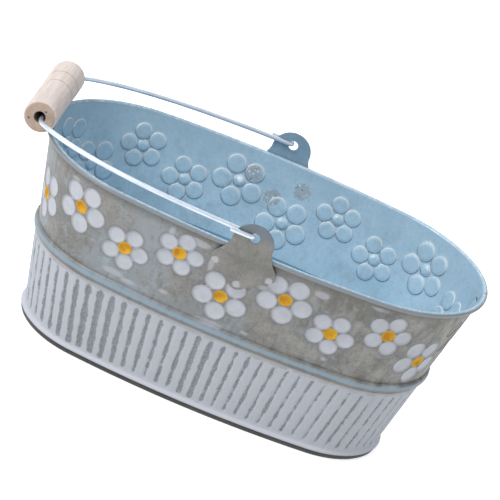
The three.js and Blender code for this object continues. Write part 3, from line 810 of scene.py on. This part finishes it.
@dataclass
class WallSheet:
    """One pressed half wall."""

    plan: OvalPlan
    side: Side
    drift: float
    petal_radius: float = 6.1
    petal_paint: float = 0.5
    petal_reach: float = 11.7
    petal_rise: float = 0.98
    petal_flat: float = 0.85
    petal_edge: Pair = (-0.7, 0.5)
    heart_radius: float = 3.6
    heart_paint: float = 0.9
    heart_depth: float = 1.4
    heart_edge: Pair = (-1.2, 0.1)
    spot_rise: float = 1.02
    grooves: int = 39
    groove_span: float = 0.954
    groove_depth: float = 1.0
    groove_edge: Pair = (0.0, 1.7)
    groove_end: float = 1.2
    groove_low: float = 7.8
    groove_drop: float = 8.0
    lip_z: float = 3.9
    lip_height: float = 2.4
    lip_flare: float = 2.0
    bead_margin: float = 0.6
    curl_turn: float = 268.0
    curl_margin: float = 1.4
    plain_top: float = 1.5
    seam_gap: float = 0.3
    lap: float = 5.5
    lap_step: float = 1.25
    lap_drop: float = 7.0
    lap_ease: float = 0.012
    lap_start: float = 0.002
    weld_reach: float = 0.5
    gleam: tuple[float, float, float] = (0.0446, 104.8, 1.7)
    fade: float = 0.25
    fade_edge: Pair = (15.0, 45.0)
    columns: int = 380
    low_rows: int = 30
    high_rows: int = 58
    bead_rows: int = 8
    curl_rows: int = 12

    def section(self) -> Outline:
        """Outer face from the lip to the end of the rolled rim.

        Returns:
            Points as inward distance and height.
        """
        plan, inset = self.plan, self.plan.inset
        lip_top = self.lip_z + self.lip_height
        low_z = plan.bead_z - plan.bead_half
        high_z = plan.bead_z + plan.bead_half
        rows = [(inset(lip_top) - self.lip_flare * (1 - t) ** 1.5, self.lip_z + self.lip_height * t)
                for t in (0.0, 0.35, 0.7)]
        straight = np.linspace(lip_top, low_z - self.bead_margin, self.low_rows)
        rows += [(inset(z), z) for z in straight]
        for i in range(self.bead_rows + 1):
            turn = math.pi * i / self.bead_rows
            t = (1 - math.cos(turn)) / 2
            base = inset(low_z) * (1 - t) + inset(high_z) * t
            rows.append((base - plan.bead_proud * math.sin(turn), low_z + (high_z - low_z) * t))
        straight = np.linspace(high_z + self.bead_margin, plan.rim_z - self.curl_margin, self.high_rows)
        rows += [(inset(z), z) for z in straight]
        curl = plan.rim_radius - plan.sheet
        for i in range(self.curl_rows + 1):
            turn = math.radians(self.curl_turn) * i / self.curl_rows
            rows.append((plan.rim_radius + curl * math.cos(turn), plan.rim_z + curl * math.sin(turn)))
        return rows

    def middle(self, flower: Flower) -> Pair:
        """Length along the wall and height of a flower's middle."""
        z = self.plan.bead_z + flower.up * (self.plan.height - self.plan.bead_z)
        return (flower.along + self.drift) * self.plan.quarter(self.plan.inset(z)), z

    def petals(self, flowers: Sequence[Flower]) -> Array:
        """Find every petal.

        Args:
            flowers: The flowers that they belong to.

        Returns:
            Rows of normal angle, height and radius.
        """
        rows = []
        for flower in flowers:
            along, z = self.middle(flower)
            reach = self.petal_reach * flower.scale
            for i in range(5):
                turn = math.radians(flower.turn + 72 * i)
                petal_z = z + reach * math.sin(turn) * self.petal_rise
                angle = self.plan.angle(along + reach * math.cos(turn), self.plan.face(petal_z))
                rows.append((float(angle), petal_z, self.petal_radius * flower.scale))
        return np.array(rows)

    def hearts(self, flowers: Sequence[Flower]) -> Array:
        """Find every flower's centre.

        Args:
            flowers: The flowers.

        Returns:
            Rows as petals() gives them.
        """
        middles = [self.middle(flower) for flower in flowers]
        return np.array([(float(self.plan.angle(along, self.plan.face(z))), z, self.heart_radius)
                         for along, z in middles])

    def reaches(self, angle: Array, z: Array, spots: Array) -> Array:
        """Signed distance to each round spot.

        Args:
            angle: Normal angles of the points.
            z: Their heights.
            spots: Rows of normal angle, height and radius.

        Returns:
            A row for each spot, in millimetres, negative inside it.
        """
        level = self.plan.face(z)
        here = self.plan.along(angle, level)
        theirs = [self.plan.along(np.full(angle.shape, spot[0]), level) for spot in spots]
        return np.array([
            np.hypot(here - there, (z - spot_z) * self.spot_rise) - radius
            for there, (_, spot_z, radius) in zip(theirs, spots)
        ])

    def nearest(self, angle: Array, z: Array, spots: Array) -> Array:
        """Signed distance to the nearest spot, from what reaches() takes."""
        return self.reaches(angle, z, spots).min(axis=0)

    def crown(self, angle: Array, z: Array, spots: Array) -> Array:
        """Height over the middle of the nearest spot, in its radii."""
        own = spots[self.reaches(angle, z, spots).argmin(axis=0)]
        return (z - own[:, 1]) / own[:, 2]

    def to_groove(self, angle: Array, z: Array) -> Array:
        """Distance to the nearest groove's middle line.

        Args:
            angle: Normal angles of the points.
            z: Their heights.

        Returns:
            Distances in millimetres.
        """
        plan = self.plan
        level = plan.face(z)
        reach = plan.along(angle, level)
        count = (self.grooves - 1) / 2
        pitch = self.groove_span * plan.quarter(level) / count
        across = reach - np.clip(np.round(reach / pitch), -count, count) * pitch
        top = plan.bead_z - self.groove_drop - self.groove_end
        low = self.groove_low + self.groove_end
        return np.hypot(across, np.maximum(np.maximum(z - top, low - z), 0.0))

    def fields(self, angle: Array, z: Array) -> dict[str, Array]:
        """Work out the distances that relief and paint are drawn from.

        Args:
            angle: Normal angles of the points.
            z: Their heights.

        Returns:
            One array for each name of an attribute.
        """
        front = self.side is Side.FRONT
        petals, hearts = self.petals(FLOWERS), self.hearts(FLOWERS)
        painted = [flower for flower in FLOWERS if flower.painted]
        arc = self.plan.along(angle, self.plan.face(z))
        marks = [(np.hypot((arc - at) / wide, (z - up) / tall) - 1) * min(wide, tall)
                 for at, up, wide, tall in BLOTS]
        worn = sum(amount * np.exp(-((arc - at) / spread) ** 2) for amount, at, spread in RUBBED)
        none = np.full(z.shape, FAR)
        return {
            "rise": z,
            "petal": self.nearest(angle, z, petals),
            "kernel": self.nearest(angle, z, hearts),
            "crown": self.crown(angle, z, np.vstack([petals, hearts])),
            "paint": self.nearest(angle, z, self.petals(painted)) - self.petal_paint,
            "heart": self.nearest(angle, z, self.hearts(painted)) - self.heart_paint,
            "groove": self.to_groove(angle, z),
            "blot": np.minimum.reduce(marks) if front else none,
            "gleam": none if front else self.nearest(angle, z, np.array([self.gleam])),
            "worn": worn - (self.fade * smooth_step(*self.fade_edge, arc) - self.fade),
        }

    def press(self, fields: dict[str, Array]) -> Array:
        """Depth of the pressings below the plain face.

        Args:
            fields: The wall's distances.

        Returns:
            Depths in millimetres.
        """
        flat = self.petal_flat * (1 - smooth_step(*self.petal_edge, fields["petal"]))
        dome = self.heart_depth * (1 - smooth_step(*self.heart_edge, fields["kernel"]))
        groove = self.groove_depth * (1 - smooth_step(*self.groove_edge, fields["groove"]))
        bare = fields["rise"] > self.plan.rim_z - self.plain_top
        return np.where(bare, 0.0, np.maximum(flat, dome) + groove)

    def build(self, name: str, welds: Callable[[Array, Array], Array]) -> Object:
        """Make the sheet with its relief and stored paint distances.

        Args:
            name: The piece's name.
            welds: Distance to the nearest weld for x and z.

        Returns:
            The sheet.
        """
        plan = self.plan
        rows = np.array(self.section())
        last = len(rows) - 1
        bm = grid(self.columns, last)
        places = np.array([v.co[:2] for v in bm.verts]) + 0.5
        row = np.clip(np.round(places[:, 1] * last).astype(int), 0, last)
        inward, z = rows[row, 0], rows[row, 1]
        gap = self.seam_gap / 2 / plan.end_radius
        lap = self.lap / (plan.end_radius - plan.inset(plan.bead_z))
        low, high = gap - math.pi / 2, math.pi / 2 - gap
        start, stop = plan.along(np.array([low, high + lap]), 0.0)
        angle = plan.angle(start + (stop - start) * places[:, 0], 0.0)
        fields = self.fields(angle, z)
        lapped = smooth_step(high - self.lap_ease, high + self.lap_ease, angle)
        inward = (inward + self.press(fields)) * (1 - lapped) + (plan.face(z) + self.lap_step) * lapped
        x, y = plan.point(angle, inward, self.side)
        for vert, px, py, pz in zip(bm.verts, x, y, z):
            vert.co = (px * MM, py * MM, pz * MM)

        top = plan.height - self.lap_drop
        keep = (angle <= high + self.lap_start) | ((z <= top) & (z >= self.groove_low))
        loose = [vert for vert, kept in zip(bm.verts, keep) if not kept]
        bmesh.ops.delete(bm, geom=loose, context="VERTS")
        bmesh.ops.recalc_face_normals(bm, faces=bm.faces)
        self.face_out(bm)
        piece = keep_mesh(bm, name, 60.0)

        near = np.abs(angle) < self.weld_reach
        lapping = np.where(z > top, 0.0, lap)
        seam = np.minimum(np.abs(high + lapping - angle), np.abs(angle - low - lapping))
        fields["weld"] = np.where(near, welds(np.sin(angle) * plan.side_radius, z), FAR)
        fields["seam"] = seam * (plan.end_radius - plan.face(z))
        first = last - self.curl_rows - 1
        fields["curl"] = np.clip((row - first) / (self.curl_rows + 1), 0.0, 1.0)
        for label, values in fields.items():
            store(piece, label, values[keep])
        solidify(piece, plan.sheet, 1)
        return piece

    def face_out(self, bm: bmesh.types.BMesh) -> None:
        """Turn all faces outwards, judged by one in the middle of the lower wall.

        Args:
            bm: The wall.
        """
        aim_x, aim_z = self.plan.centre_x * MM, self.plan.bead_z * MM / 2
        faces = [(face.calc_center_median(), face) for face in bm.faces]
        middle = min(faces, key=lambda pair: abs(pair[0].x - aim_x) + abs(pair[0].z - aim_z))[1]
        if middle.normal.y * self.side.turn > 0:
            bmesh.ops.reverse_faces(bm, faces=bm.faces)


@dataclass
class BasePan:
    """Floor, upright leg and hemmed foot."""

    plan: OvalPlan
    floor_z: float = 5.0
    foot_height: float = 3.2
    foot_inset: float = 1.0
    lip_top: float = 6.3
    lip_flare: float = 2.0
    gap: float = 0.3
    columns: int = 180

    def section(self) -> Outline:
        """Section from the floor's underside round the foot to the floor's top.

        Returns:
            Points as inward distance and height.
        """
        sheet = self.plan.sheet
        face = self.plan.inset(self.lip_top)
        leg = face + sheet + self.gap
        foot = face - self.lip_flare + self.foot_inset
        high, top = self.foot_height, self.floor_z + sheet
        return [
            (leg + sheet, self.floor_z), (leg + sheet, 0.5), (leg + sheet - 0.5, 0.0),
            (foot + 0.6, 0.0), (foot + 0.2, 0.35), (foot, 0.9), (foot, high - 0.8),
            (foot + 0.15, high - 0.3), (foot + 0.6, high), (leg, high), (leg, top - 0.15),
            (leg + 0.15, top),
        ]

    def build(self, name: str) -> Object:
        """Make the pan.

        Args:
            name: The piece's name.

        Returns:
            The pan.
        """
        plan = self.plan
        rows = self.section()
        last = len(rows) - 1
        bm = grid(self.columns, last)
        for vert in bm.verts:
            inward, z = rows[round((vert.co.y + 0.5) * last)]
            share = (vert.co.x + 0.5) * 2 % 2.0
            side = Side.FRONT if share < 1 else Side.BACK
            along = ((share % 1.0) * 2 - 1) * plan.quarter(0.0)
            x, y = plan.point(plan.angle(along, 0.0), inward, side)
            vert.co = (float(x) * MM, float(y) * MM, z * MM)
        close(bm, capped=True)
        for face in bm.faces:
            face.material_index = int(face.calc_center_median().z > (self.floor_z - 0.1) * MM)
        return keep_mesh(bm, name, 35.0)


@dataclass
class Ear:
    """Welded sheet tab with the bail's hole."""

    plan: OvalPlan
    side: Side
    hole_z: float
    hole_radius: float = 3.2
    sheet: float = 0.8
    gap: float = 0.3
    tab_radius: float = 13.3
    tab_turn: float = 95.0
    top: float = 8.9
    neck_half: float = 15.7
    neck_fillet: float = 2.0
    neck_pull: Pair = (0.4, 1.5)
    shoulder_half: float = 22.0
    shoulder_drop: float = 24.5
    shoulder_inset: float = 3.0
    shoulder_rise: float = 7.0
    shoulder_pull: float = 1.5
    shoulder_return: float = 4.0
    tip_drop: float = 40.6
    tip_half: float = 6.0
    tip_pull: float = 3.0
    tip_round: float = 0.5
    bend: float = 6.2
    bend_ease: Pair = (0.8, 0.6)
    weld_spread: float = 17.7
    weld_high: float = 25.4
    weld_low: float = 36.2
    weld_depth: float = 0.35
    weld_edge: Pair = (1.2, 2.7)
    sag: float = 0.6
    sag_drop: float = 14.0
    rounding: float = 0.12
    rings: int = 26

    def outline(self) -> Outline:
        """Edge of the ear around the hole, from the top, one half then the other.

        Returns:
            Points as x and z from the hole.
        """
        hub = self.top - self.tab_radius
        half: Outline = []
        for i in range(13):
            a = math.radians(90 - self.tab_turn * i / 12)
            half.append((self.tab_radius * math.cos(a), hub + self.tab_radius * math.sin(a)))
        neck = self.plan.height - self.hole_z
        pull = (self.tab_radius + self.neck_pull[0], neck + self.neck_pull[1])
        half += self.curve(half[-1], pull, (self.neck_half, neck - self.neck_fillet), 5)
        wide, shoulder, tip = self.shoulder_half, -self.shoulder_drop, -self.tip_drop
        edge = (self.tip_drop - self.shoulder_drop) / wide
        start = (wide - self.shoulder_inset, shoulder + self.shoulder_rise)
        half += self.line(half[-1], start, 4)
        low = (wide - self.shoulder_return, shoulder - self.shoulder_return * edge)
        half += self.curve(start, (wide + self.shoulder_pull, shoulder), low, 8)
        near_tip = (self.tip_half, tip + self.tip_half * edge)
        half += self.line(low, near_tip, 5)
        pull = (self.tip_pull, tip + 0.6 * edge)
        half += self.curve(near_tip, pull, (0.0, tip + self.tip_round), 4)
        return half + [(-x, z) for x, z in reversed(half[1:-1])]

    @staticmethod
    def between(a: Pair, b: Pair, t: float) -> Pair:
        """Point on a straight line."""
        return (a[0] + (b[0] - a[0]) * t, a[1] + (b[1] - a[1]) * t)

    @classmethod
    def line(cls, a: Pair, b: Pair, steps: int) -> Outline:
        """Even points of a straight line, without a itself."""
        return [cls.between(a, b, i / steps) for i in range(1, steps + 1)]

    @classmethod
    def curve(cls, a: Pair, b: Pair, c: Pair, steps: int) -> Outline:
        """Points of a curve from a to c that is drawn towards b, without a itself."""
        ts = [i / steps for i in range(1, steps + 1)]
        return [cls.between(cls.between(a, b, t), cls.between(b, c, t), t) for t in ts]

    def outer_y(self, z: float) -> float:
        """Distance of the ear's outer face from the middle plane.

        Args:
            z: Height over the hole.

        Returns:
            The distance in millimetres.
        """
        plan = self.plan
        tab = plan.width / 2 + self.gap + self.sheet
        height = z + self.hole_z
        top = plan.height - 2 * plan.rim_radius - self.gap
        low = top - self.bend
        wall = plan.width / 2 - plan.inset(min(height, low)) + self.gap + self.sheet
        ease = smooth_step(low - self.bend_ease[0], top + self.bend_ease[1], height)
        return wall + (tab - wall) * float(ease)

    def weld_distance(self, x: Values, z: Values) -> Values:
        """Distance to the nearest weld.

        Args:
            x: Distances across from the middle.
            z: Heights over the ground.

        Returns:
            Distances in millimetres.
        """
        sides = ((sign * self.weld_spread, self.weld_high) for sign in (-1, 1))
        spots = (*sides, (0.0, self.weld_low))
        return np.minimum.reduce([np.hypot(x - sx, z - (self.hole_z - drop)) for sx, drop in spots])

    def build(self, name: str) -> Object:
        """Make the ear.

        Args:
            name: The piece's name.

        Returns:
            The ear.
        """
        edge = self.outline()
        count = len(edge)
        turn = self.side.turn
        bm = grid(count, self.rings)
        for vert in bm.verts:
            x, z = edge[round((vert.co.x + 0.5) * count) % count]
            reach = math.hypot(x, z)
            hole = (x / reach * self.hole_radius, z / reach * self.hole_radius)
            px, pz = self.between(hole, (x, z), vert.co.y + 0.5)
            away = self.weld_distance(px, pz + self.hole_z)
            press = self.weld_depth * (1 - float(smooth_step(*self.weld_edge, away)))
            sag = px * px / (2 * self.plan.side_radius) * float(smooth_step(0.0, self.sag_drop, -pz))
            y = self.outer_y(pz) - press - sag * self.sag
            vert.co = ((self.plan.centre_x + turn * px) * MM, -turn * y * MM, (pz + self.hole_z) * MM)
        close(bm)
        if bm.faces[0].normal.y * turn > 0:
            bmesh.ops.reverse_faces(bm, faces=bm.faces)
        piece = keep_mesh(bm, name, 50.0)
        places = points_of(piece)
        store(piece, "weld", self.weld_distance(places[:, 0] - self.plan.centre_x, places[:, 2]))
        solidify(piece, self.sheet, 1)
        round_edges(piece, self.rounding, 2)
        return piece


def round_edges(piece: Object, width: float, segments: int) -> None:
    """Bevel a piece's sharp edges.

    Args:
        piece: The object.
        width: In millimetres.
        segments: Faces across each bevel.
    """
    bevel = piece.modifiers.new("edge", "BEVEL")
    bevel.width = width * MM
    bevel.segments = segments
    bevel.limit_method = "ANGLE"
    bevel.angle_limit = math.radians(BEVEL_DEG)


@dataclass
class Bail:
    """One-piece wire with a folded hook through each ear."""

    hinge: Vector
    seat: Vector
    tab_y: float
    grip_half: float
    radius: float = 1.5
    gap: float = 0.3
    ear_sheet: float = 0.8
    tail: float = 15.0
    end_slope: float = 40.0
    bend_radius: float = 9.0
    corner_play: float = 3.2
    hook_exit: float = 7.0
    arm_start: float = 12.0
    arm_drift: float = 2.0
    arm_pulls: Pair = (0.4, 0.23)
    rounding: float = 0.35
    sides: int = 20

    def half_line(self) -> Outline:
        """Centre line from the tail to the grip's middle.

        Returns:
            Points as distance from the hinge and y.
        """
        fold = self.radius + self.gap + self.ear_sheet / 2
        inner, outer = self.tab_y - fold, self.tab_y + fold
        reach = math.hypot(self.seat.x - self.hinge.x, self.seat.z - self.hinge.z)
        slope = math.radians(self.end_slope)
        turn = math.pi / 2 - slope
        tangent = self.bend_radius * math.tan(turn / 2)
        corner = self.grip_half + self.corner_play
        start = (reach - tangent * math.cos(slope), corner + tangent * math.sin(slope))
        line: Outline = [(self.tail, outer), (self.tail * 0.5, outer)]
        for i in range(13):
            a = math.pi * i / 12
            line.append((fold - fold * math.sin(a), self.tab_y + fold * math.cos(a)))
        line.append((self.hook_exit, inner))
        first, second = (pull * reach for pull in self.arm_pulls)
        arm = (
            (self.arm_start, inner),
            (self.arm_start + first, inner - self.arm_drift),
            (start[0] - second * math.cos(slope), start[1] + second * math.sin(slope)),
            start,
        )
        for i in range(28):
            t = i / 28
            weights = ((1 - t) ** 3, 3 * t * (1 - t) ** 2, 3 * t * t * (1 - t), t**3)
            line.append(tuple(sum(w * p[k] for w, p in zip(weights, arm)) for k in (0, 1)))
        for i in range(9):
            a = turn * (1 - i / 8)
            across = corner - tangent + self.bend_radius * math.sin(a)
            line.append((reach - self.bend_radius + self.bend_radius * math.cos(a), across))
        return line

    def build(self, name: str) -> Object:
        """Make the wire by carrying a round section along its line.

        Args:
            name: The piece's name.

        Returns:
            The wire.
        """
        half = self.half_line()
        line = [Vector(point) for point in half] + [Vector((r, -y)) for r, y in reversed(half)]
        out = Vector((self.seat.x - self.hinge.x, 0, self.seat.z - self.hinge.z)).normalized()
        across = Vector((0, 1, 0))
        up = out.cross(across)
        last = len(line) - 1
        bm = grid(last, self.sides)
        for vert in bm.verts:
            index = round((vert.co.x + 0.5) * last)
            turn = 2 * math.pi * (vert.co.y + 0.5)
            along = (line[min(index + 1, last)] - line[max(index - 1, 0)]).normalized()
            side = out * (-along.y) + across * along.x
            middle = self.hinge + out * line[index].x + across * line[index].y
            vert.co = (middle + (side * math.cos(turn) + up * math.sin(turn)) * self.radius) * MM
        close(bm, capped=True)
        piece = keep_mesh(bm, name, 60.0)
        round_edges(piece, self.rounding, 3)
        return piece


@dataclass
class Grip:
    """Turned wooden grip with a clear bore and two lathe lines."""

    centre: Vector
    half: float
    radius: float = 11.05
    waist: float = 0.35
    edge: float = 2.2
    bore: float = 3.6
    bore_edge: float = 0.3
    rings: tuple[Pair, ...] = ((0.06, 0.75), (0.45, 0.4))
    ring_half: float = 1.6
    # Width of the painted shade along each lathe line.
    ring_shade_width: float = 1.1
    pores: tuple[Pair, ...] = ((2.6, 4.6), (-6.4, -3.0))
    pore_depth: float = 0.4
    steps: int = 72

    def body(self, y: float) -> float:
        """Radius with the waist and the two lines.

        Args:
            y: Place along the grip, from its middle.

        Returns:
            The radius.
        """
        share = y / self.half
        plain = self.radius - self.waist
        plain += self.waist * float(smooth_step(0.1, 0.6, share))
        for place, depth in self.rings:
            plain -= depth * max(0.0, 1 - abs(share - place) * self.half / self.ring_half) ** 1.5
        return plain

    def outline(self) -> Outline:
        """Half section, closed through the bore.

        Returns:
            Points as radius and y.
        """
        end = self.half - self.edge
        angles = [math.pi / 2 * i / 6 for i in range(1, 6)]
        corner = [(self.edge * (1 - math.sin(a)), self.edge * (1 - math.cos(a))) for a in angles]
        flat = np.linspace(self.bore + self.bore_edge, self.radius - self.edge, 9).tolist()
        offsets = [sign * step for step in (0.0, 0.35, 0.7, 1.1, self.ring_half) for sign in (-1, 1)]
        near_rings = (share * self.half + step for share, _ in self.rings for step in offsets)
        stops = sorted({*np.linspace(-end, end, 30).tolist(), *near_rings})
        return [
            *((r, -self.half) for r in flat),
            *((self.body(-end) - back, up - self.half) for back, up in corner),
            *((self.body(y), y) for y in stops),
            *((self.body(end) - back, self.half - up) for back, up in reversed(corner)),
            *((r, self.half) for r in reversed(flat)),
            (self.bore, self.half - self.bore_edge),
            (self.bore, self.bore_edge - self.half),
        ]

    def build(self, name: str) -> Object:
        """Make the grip by spinning its half section.

        Args:
            name: The piece's name.

        Returns:
            The grip.
        """
        bm = bmesh.new()
        verts = [bm.verts.new((r * MM, y * MM, 0)) for r, y in self.outline()]
        edges = [bm.edges.new(pair) for pair in zip(verts, verts[1:] + verts[:1])]
        bmesh.ops.spin(bm, geom=verts + edges, axis=(0, 1, 0), cent=(0, 0, 0), dvec=(0, 0, 0),
                       angle=2 * math.pi, steps=self.steps, use_merge=True, use_duplicate=False)
        close(bm)
        bmesh.ops.translate(bm, verts=bm.verts, vec=self.centre * MM)
        piece = keep_mesh(bm, name, 50.0)
        x, y, z = (points_of(piece) - np.array(self.centre)).T
        holes = np.minimum.reduce([np.hypot(x - px, z - pz) for px, pz in self.pores])
        lines = np.minimum.reduce([np.abs(y / self.half - share) * self.half for share, _ in self.rings])
        store(piece, "pore", np.where(y < self.pore_depth - self.half, holes, FAR))
        store(piece, "ring", np.hypot(x, z))
        store(piece, "turned", 1 - smooth_step(0.0, self.ring_shade_width, lines))
        return piece


@dataclass(frozen=True)
class Lamp:
    """A soft square lamp: its place and its side in metres, and its power in watts."""

    name: str
    at: tuple[float, float, float]
    size: float
    power: float


@dataclass
class Studio:
    """Pale floor, soft lamps and the camera."""

    target: Vector
    elevation: float = 23.904
    azimuth: float = -0.139
    roll: float = 22.723
    distance: float = 1606.8
    zoom: float = 1.555
    drop: float = 26.29
    frame_px: float = 500.0
    sensor: float = 36.0
    aim: float = 0.07
    floor_half: float = 4.0
    floor_drop: float = 0.0004
    paper: Colour = (0.86, 0.86, 0.86)
    white: Colour = (1.0, 1.0, 1.0)
    air: Colour = (0.93, 0.97, 1.0)
    glow: float = 0.62
    lamps: tuple[Lamp, ...] = (
        Lamp("key", (-1.5, -1.0, 1.7), 1.1, 34.0),
        Lamp("fill", (1.3, -1.2, 1.0), 1.4, 4.0),
        Lamp("rear", (-0.5, 1.5, 1.5), 1.2, 8.0),
    )

    def camera(self) -> None:
        """Place the camera as the photograph's was."""
        el = math.radians(self.elevation)
        az = math.radians(self.azimuth)
        roll = math.radians(self.roll)
        back = Vector((math.sin(az) * math.cos(el), -math.cos(az) * math.cos(el), math.sin(el)))
        right = Vector((math.cos(az), math.sin(az), 0))
        up = back.cross(right)
        own_x = right * math.cos(roll) + up * math.sin(roll)
        own_y = -right * math.sin(roll) + up * math.cos(roll)
        eye = (self.target + up * self.drop + back * self.distance) * MM
        data = bpy.data.cameras.new("camera")
        data.sensor_width = self.sensor
        data.lens = self.zoom * self.distance / self.frame_px * self.sensor
        data.clip_end = 20
        placed = bpy.data.objects.new("camera", data)
        turn = Matrix((own_x, own_y, back)).transposed().to_4x4()
        placed.matrix_world = Matrix.Translation(eye) @ turn
        bpy.context.scene.collection.objects.link(placed)
        bpy.context.scene.camera = placed

    def light(self, lamp: Lamp) -> None:
        """Add a lamp that faces the bucket.

        Args:
            lamp: What it is like.
        """
        data = bpy.data.lights.new(lamp.name, "AREA")
        data.shape = "SQUARE"
        data.size = lamp.size
        data.energy = lamp.power
        placed = bpy.data.objects.new(lamp.name, data)
        placed.location = lamp.at
        back = Vector(lamp.at) - Vector((0, 0, self.aim))
        placed.rotation_euler = back.to_track_quat("Z", "Y").to_euler()
        bpy.context.scene.collection.objects.link(placed)

    @staticmethod
    def split(graph: Graph, end: str, rays: Sequence[str], shaders: Sequence[bpy.types.Node]) -> None:
        """End a tree that looks different to some rays.

        Args:
            graph: The tree.
            end: The output node's type.
            rays: Kinds of rays that see the second shader.
            shaders: The shader for other rays and that for these.
        """
        kinds = graph.node("ShaderNodeLightPath", {}, {}).outputs
        seen = Field(graph, kinds[rays[0]])
        for kind in rays[1:]:
            seen = seen.at_least(Field(graph, kinds[kind]))
        inputs = {0: seen, 1: shaders[0].outputs[0], 2: shaders[1].outputs[0]}
        mixed = graph.node("ShaderNodeMixShader", {}, inputs)
        graph.node(end, {}, {0: mixed.outputs[0]})

    def floor(self) -> None:
        """Lay the pale floor, which the camera sees as white away from the shadow."""
        bm = bmesh.new()
        bmesh.ops.create_grid(bm, x_segments=1, y_segments=1, size=self.floor_half)
        bmesh.ops.translate(bm, verts=bm.verts, vec=(0, 0, -self.floor_drop))
        ground = keep_mesh(bm, "floor")
        graph = Graph(bpy.data.materials.new("floor_paper"))
        paper = graph.node("ShaderNodeBsdfDiffuse", {}, {"Color": (*self.paper, 1.0)})
        inputs = {"Color": (*self.white, 1.0), "Strength": self.glow}
        glow = graph.node("ShaderNodeEmission", {}, inputs)
        both = graph.node("ShaderNodeAddShader", {}, {0: paper.outputs[0], 1: glow.outputs[0]})
        rays = ("Is Camera Ray", "Is Glossy Ray")
        self.split(graph, "ShaderNodeOutputMaterial", rays, (paper, both))
        ground.data.materials.append(graph.owner)

    def sky(self) -> None:
        """Give the room a soft even light that reads as white behind the object."""
        graph = Graph(bpy.data.worlds.new("room"))
        soft = graph.node("ShaderNodeBackground", {}, {0: (*self.air, 1.0), 1: self.glow})
        white = graph.node("ShaderNodeBackground", {}, {0: (*self.white, 1.0), 1: 1.0})
        self.split(graph, "ShaderNodeOutputWorld", ("Is Camera Ray",), (soft, white))
        bpy.context.scene.world = graph.owner

    def build(self) -> None:
        """Set everything up."""
        self.floor()
        self.sky()
        for lamp in self.lamps:
            self.light(lamp)
        self.camera()
        bpy.context.scene.view_settings.view_transform = "Standard"


def dress(piece: Object, body: str, node: str, finishes: Sequence[Material]) -> None:
    """Put a piece on its body in place of a CAD node.

    Args:
        piece: The finished piece.
        body: The body that it rides on.
        node: The CAD node that it stands for.
        finishes: Its materials, in slot order.
    """
    for finish in finishes:
        piece.data.materials.append(finish)
    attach(piece, body)
    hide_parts(node)
    LOG.info("%s: %d faces on %s", piece.name, len(piece.data.polygons), body)


def main() -> None:
    """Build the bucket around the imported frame."""
    logging.basicConfig(level=logging.INFO, format="%(name)s %(message)s")
    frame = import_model()
    wall_low, wall_high = (Vector(corner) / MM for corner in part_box("wall_front"))
    grip_low, grip_high = (Vector(corner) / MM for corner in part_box("wood_grip"))
    pan_low, pan_high = (Vector(corner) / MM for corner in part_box("base_pan"))
    centre_x = (pan_low.x + pan_high.x) / 2
    joints = {joint["name"]: joint for joint in frame["record"]["behaviour"]["joints"]}
    hinge = Vector(joints["bail_swing"]["pos_m"]) / MM
    grip_at = Vector(joints["grip_spin"]["pos_m"]) / MM
    plan = OvalPlan(wall_high.x - wall_low.x, -2 * wall_low.y, wall_high.z, centre_x)
    grip = Grip(grip_at, (grip_high.y - grip_low.y) / 2)
    hole_play = (Ear.hole_radius - Bail.radius - Bail.gap) * math.sqrt(0.5)
    bore_play = (grip.bore - Bail.radius - Bail.gap) * math.sqrt(0.5)
    seat = Vector((grip_at.x + bore_play, 0, grip_at.z - bore_play))

    walls = (PaintedZinc().build(), ScorchedZinc().build())
    ears = {side: Ear(plan, side, hinge.z - hole_play) for side in Side}
    for side, ear in ears.items():
        sheet = WallSheet(plan, side, WALL_DRIFT * side.turn)
        wall = sheet.build(f"pressed_wall_{side.value}", ear.weld_distance)
        dress(wall, "bucket", f"wall_{side.value}", walls)
    # The foot's unpainted zinc, darkened as painted shade under the flared lip.
    hem_zinc_and_shade = ZincCoat("foot_zinc", (0.085, 0.08, 0.08), (0.035, 0.033, 0.034), 40.0)
    # Blue-grey floor: the sky's reflection painted in, as on the walls' insides.
    floor = ZincCoat("floor_zinc", (0.5, 0.66, 0.76), (0.36, 0.5, 0.6), 24.0, 0.42, 0.25)
    pan = BasePan(plan).build("hemmed_pan")
    dress(pan, "bucket", "base_pan", (hem_zinc_and_shade.build(), floor.build()))
    # Blue-grey, the sky's reflection painted in as on the walls' insides.
    inner = ZincCoat("ear_zinc_inner", (0.33, 0.47, 0.58), (0.22, 0.33, 0.42), 60.0)
    coats = (WeldedZinc().build(), inner.build())
    for side, ear in ears.items():
        tab = ear.build(f"welded_ear_{side.value}")
        dress(tab, "bucket", f"ear_{side.value}", coats)
    tab_y = plan.width / 2 + Ear.gap + Ear.sheet / 2
    wire = Bail(hinge, seat, tab_y, grip.half).build("folded_bail")
    dress(wire, "bail", "bail_wire", (BrightWire().build(),))
    wood = (TurnedWood(grip.half).build(),)
    dress(grip.build("turned_grip"), "grip", "wood_grip", wood)

    Studio(Vector((centre_x, 0, plan.height / 2))).build()


if __name__ == "__main__":
    main()
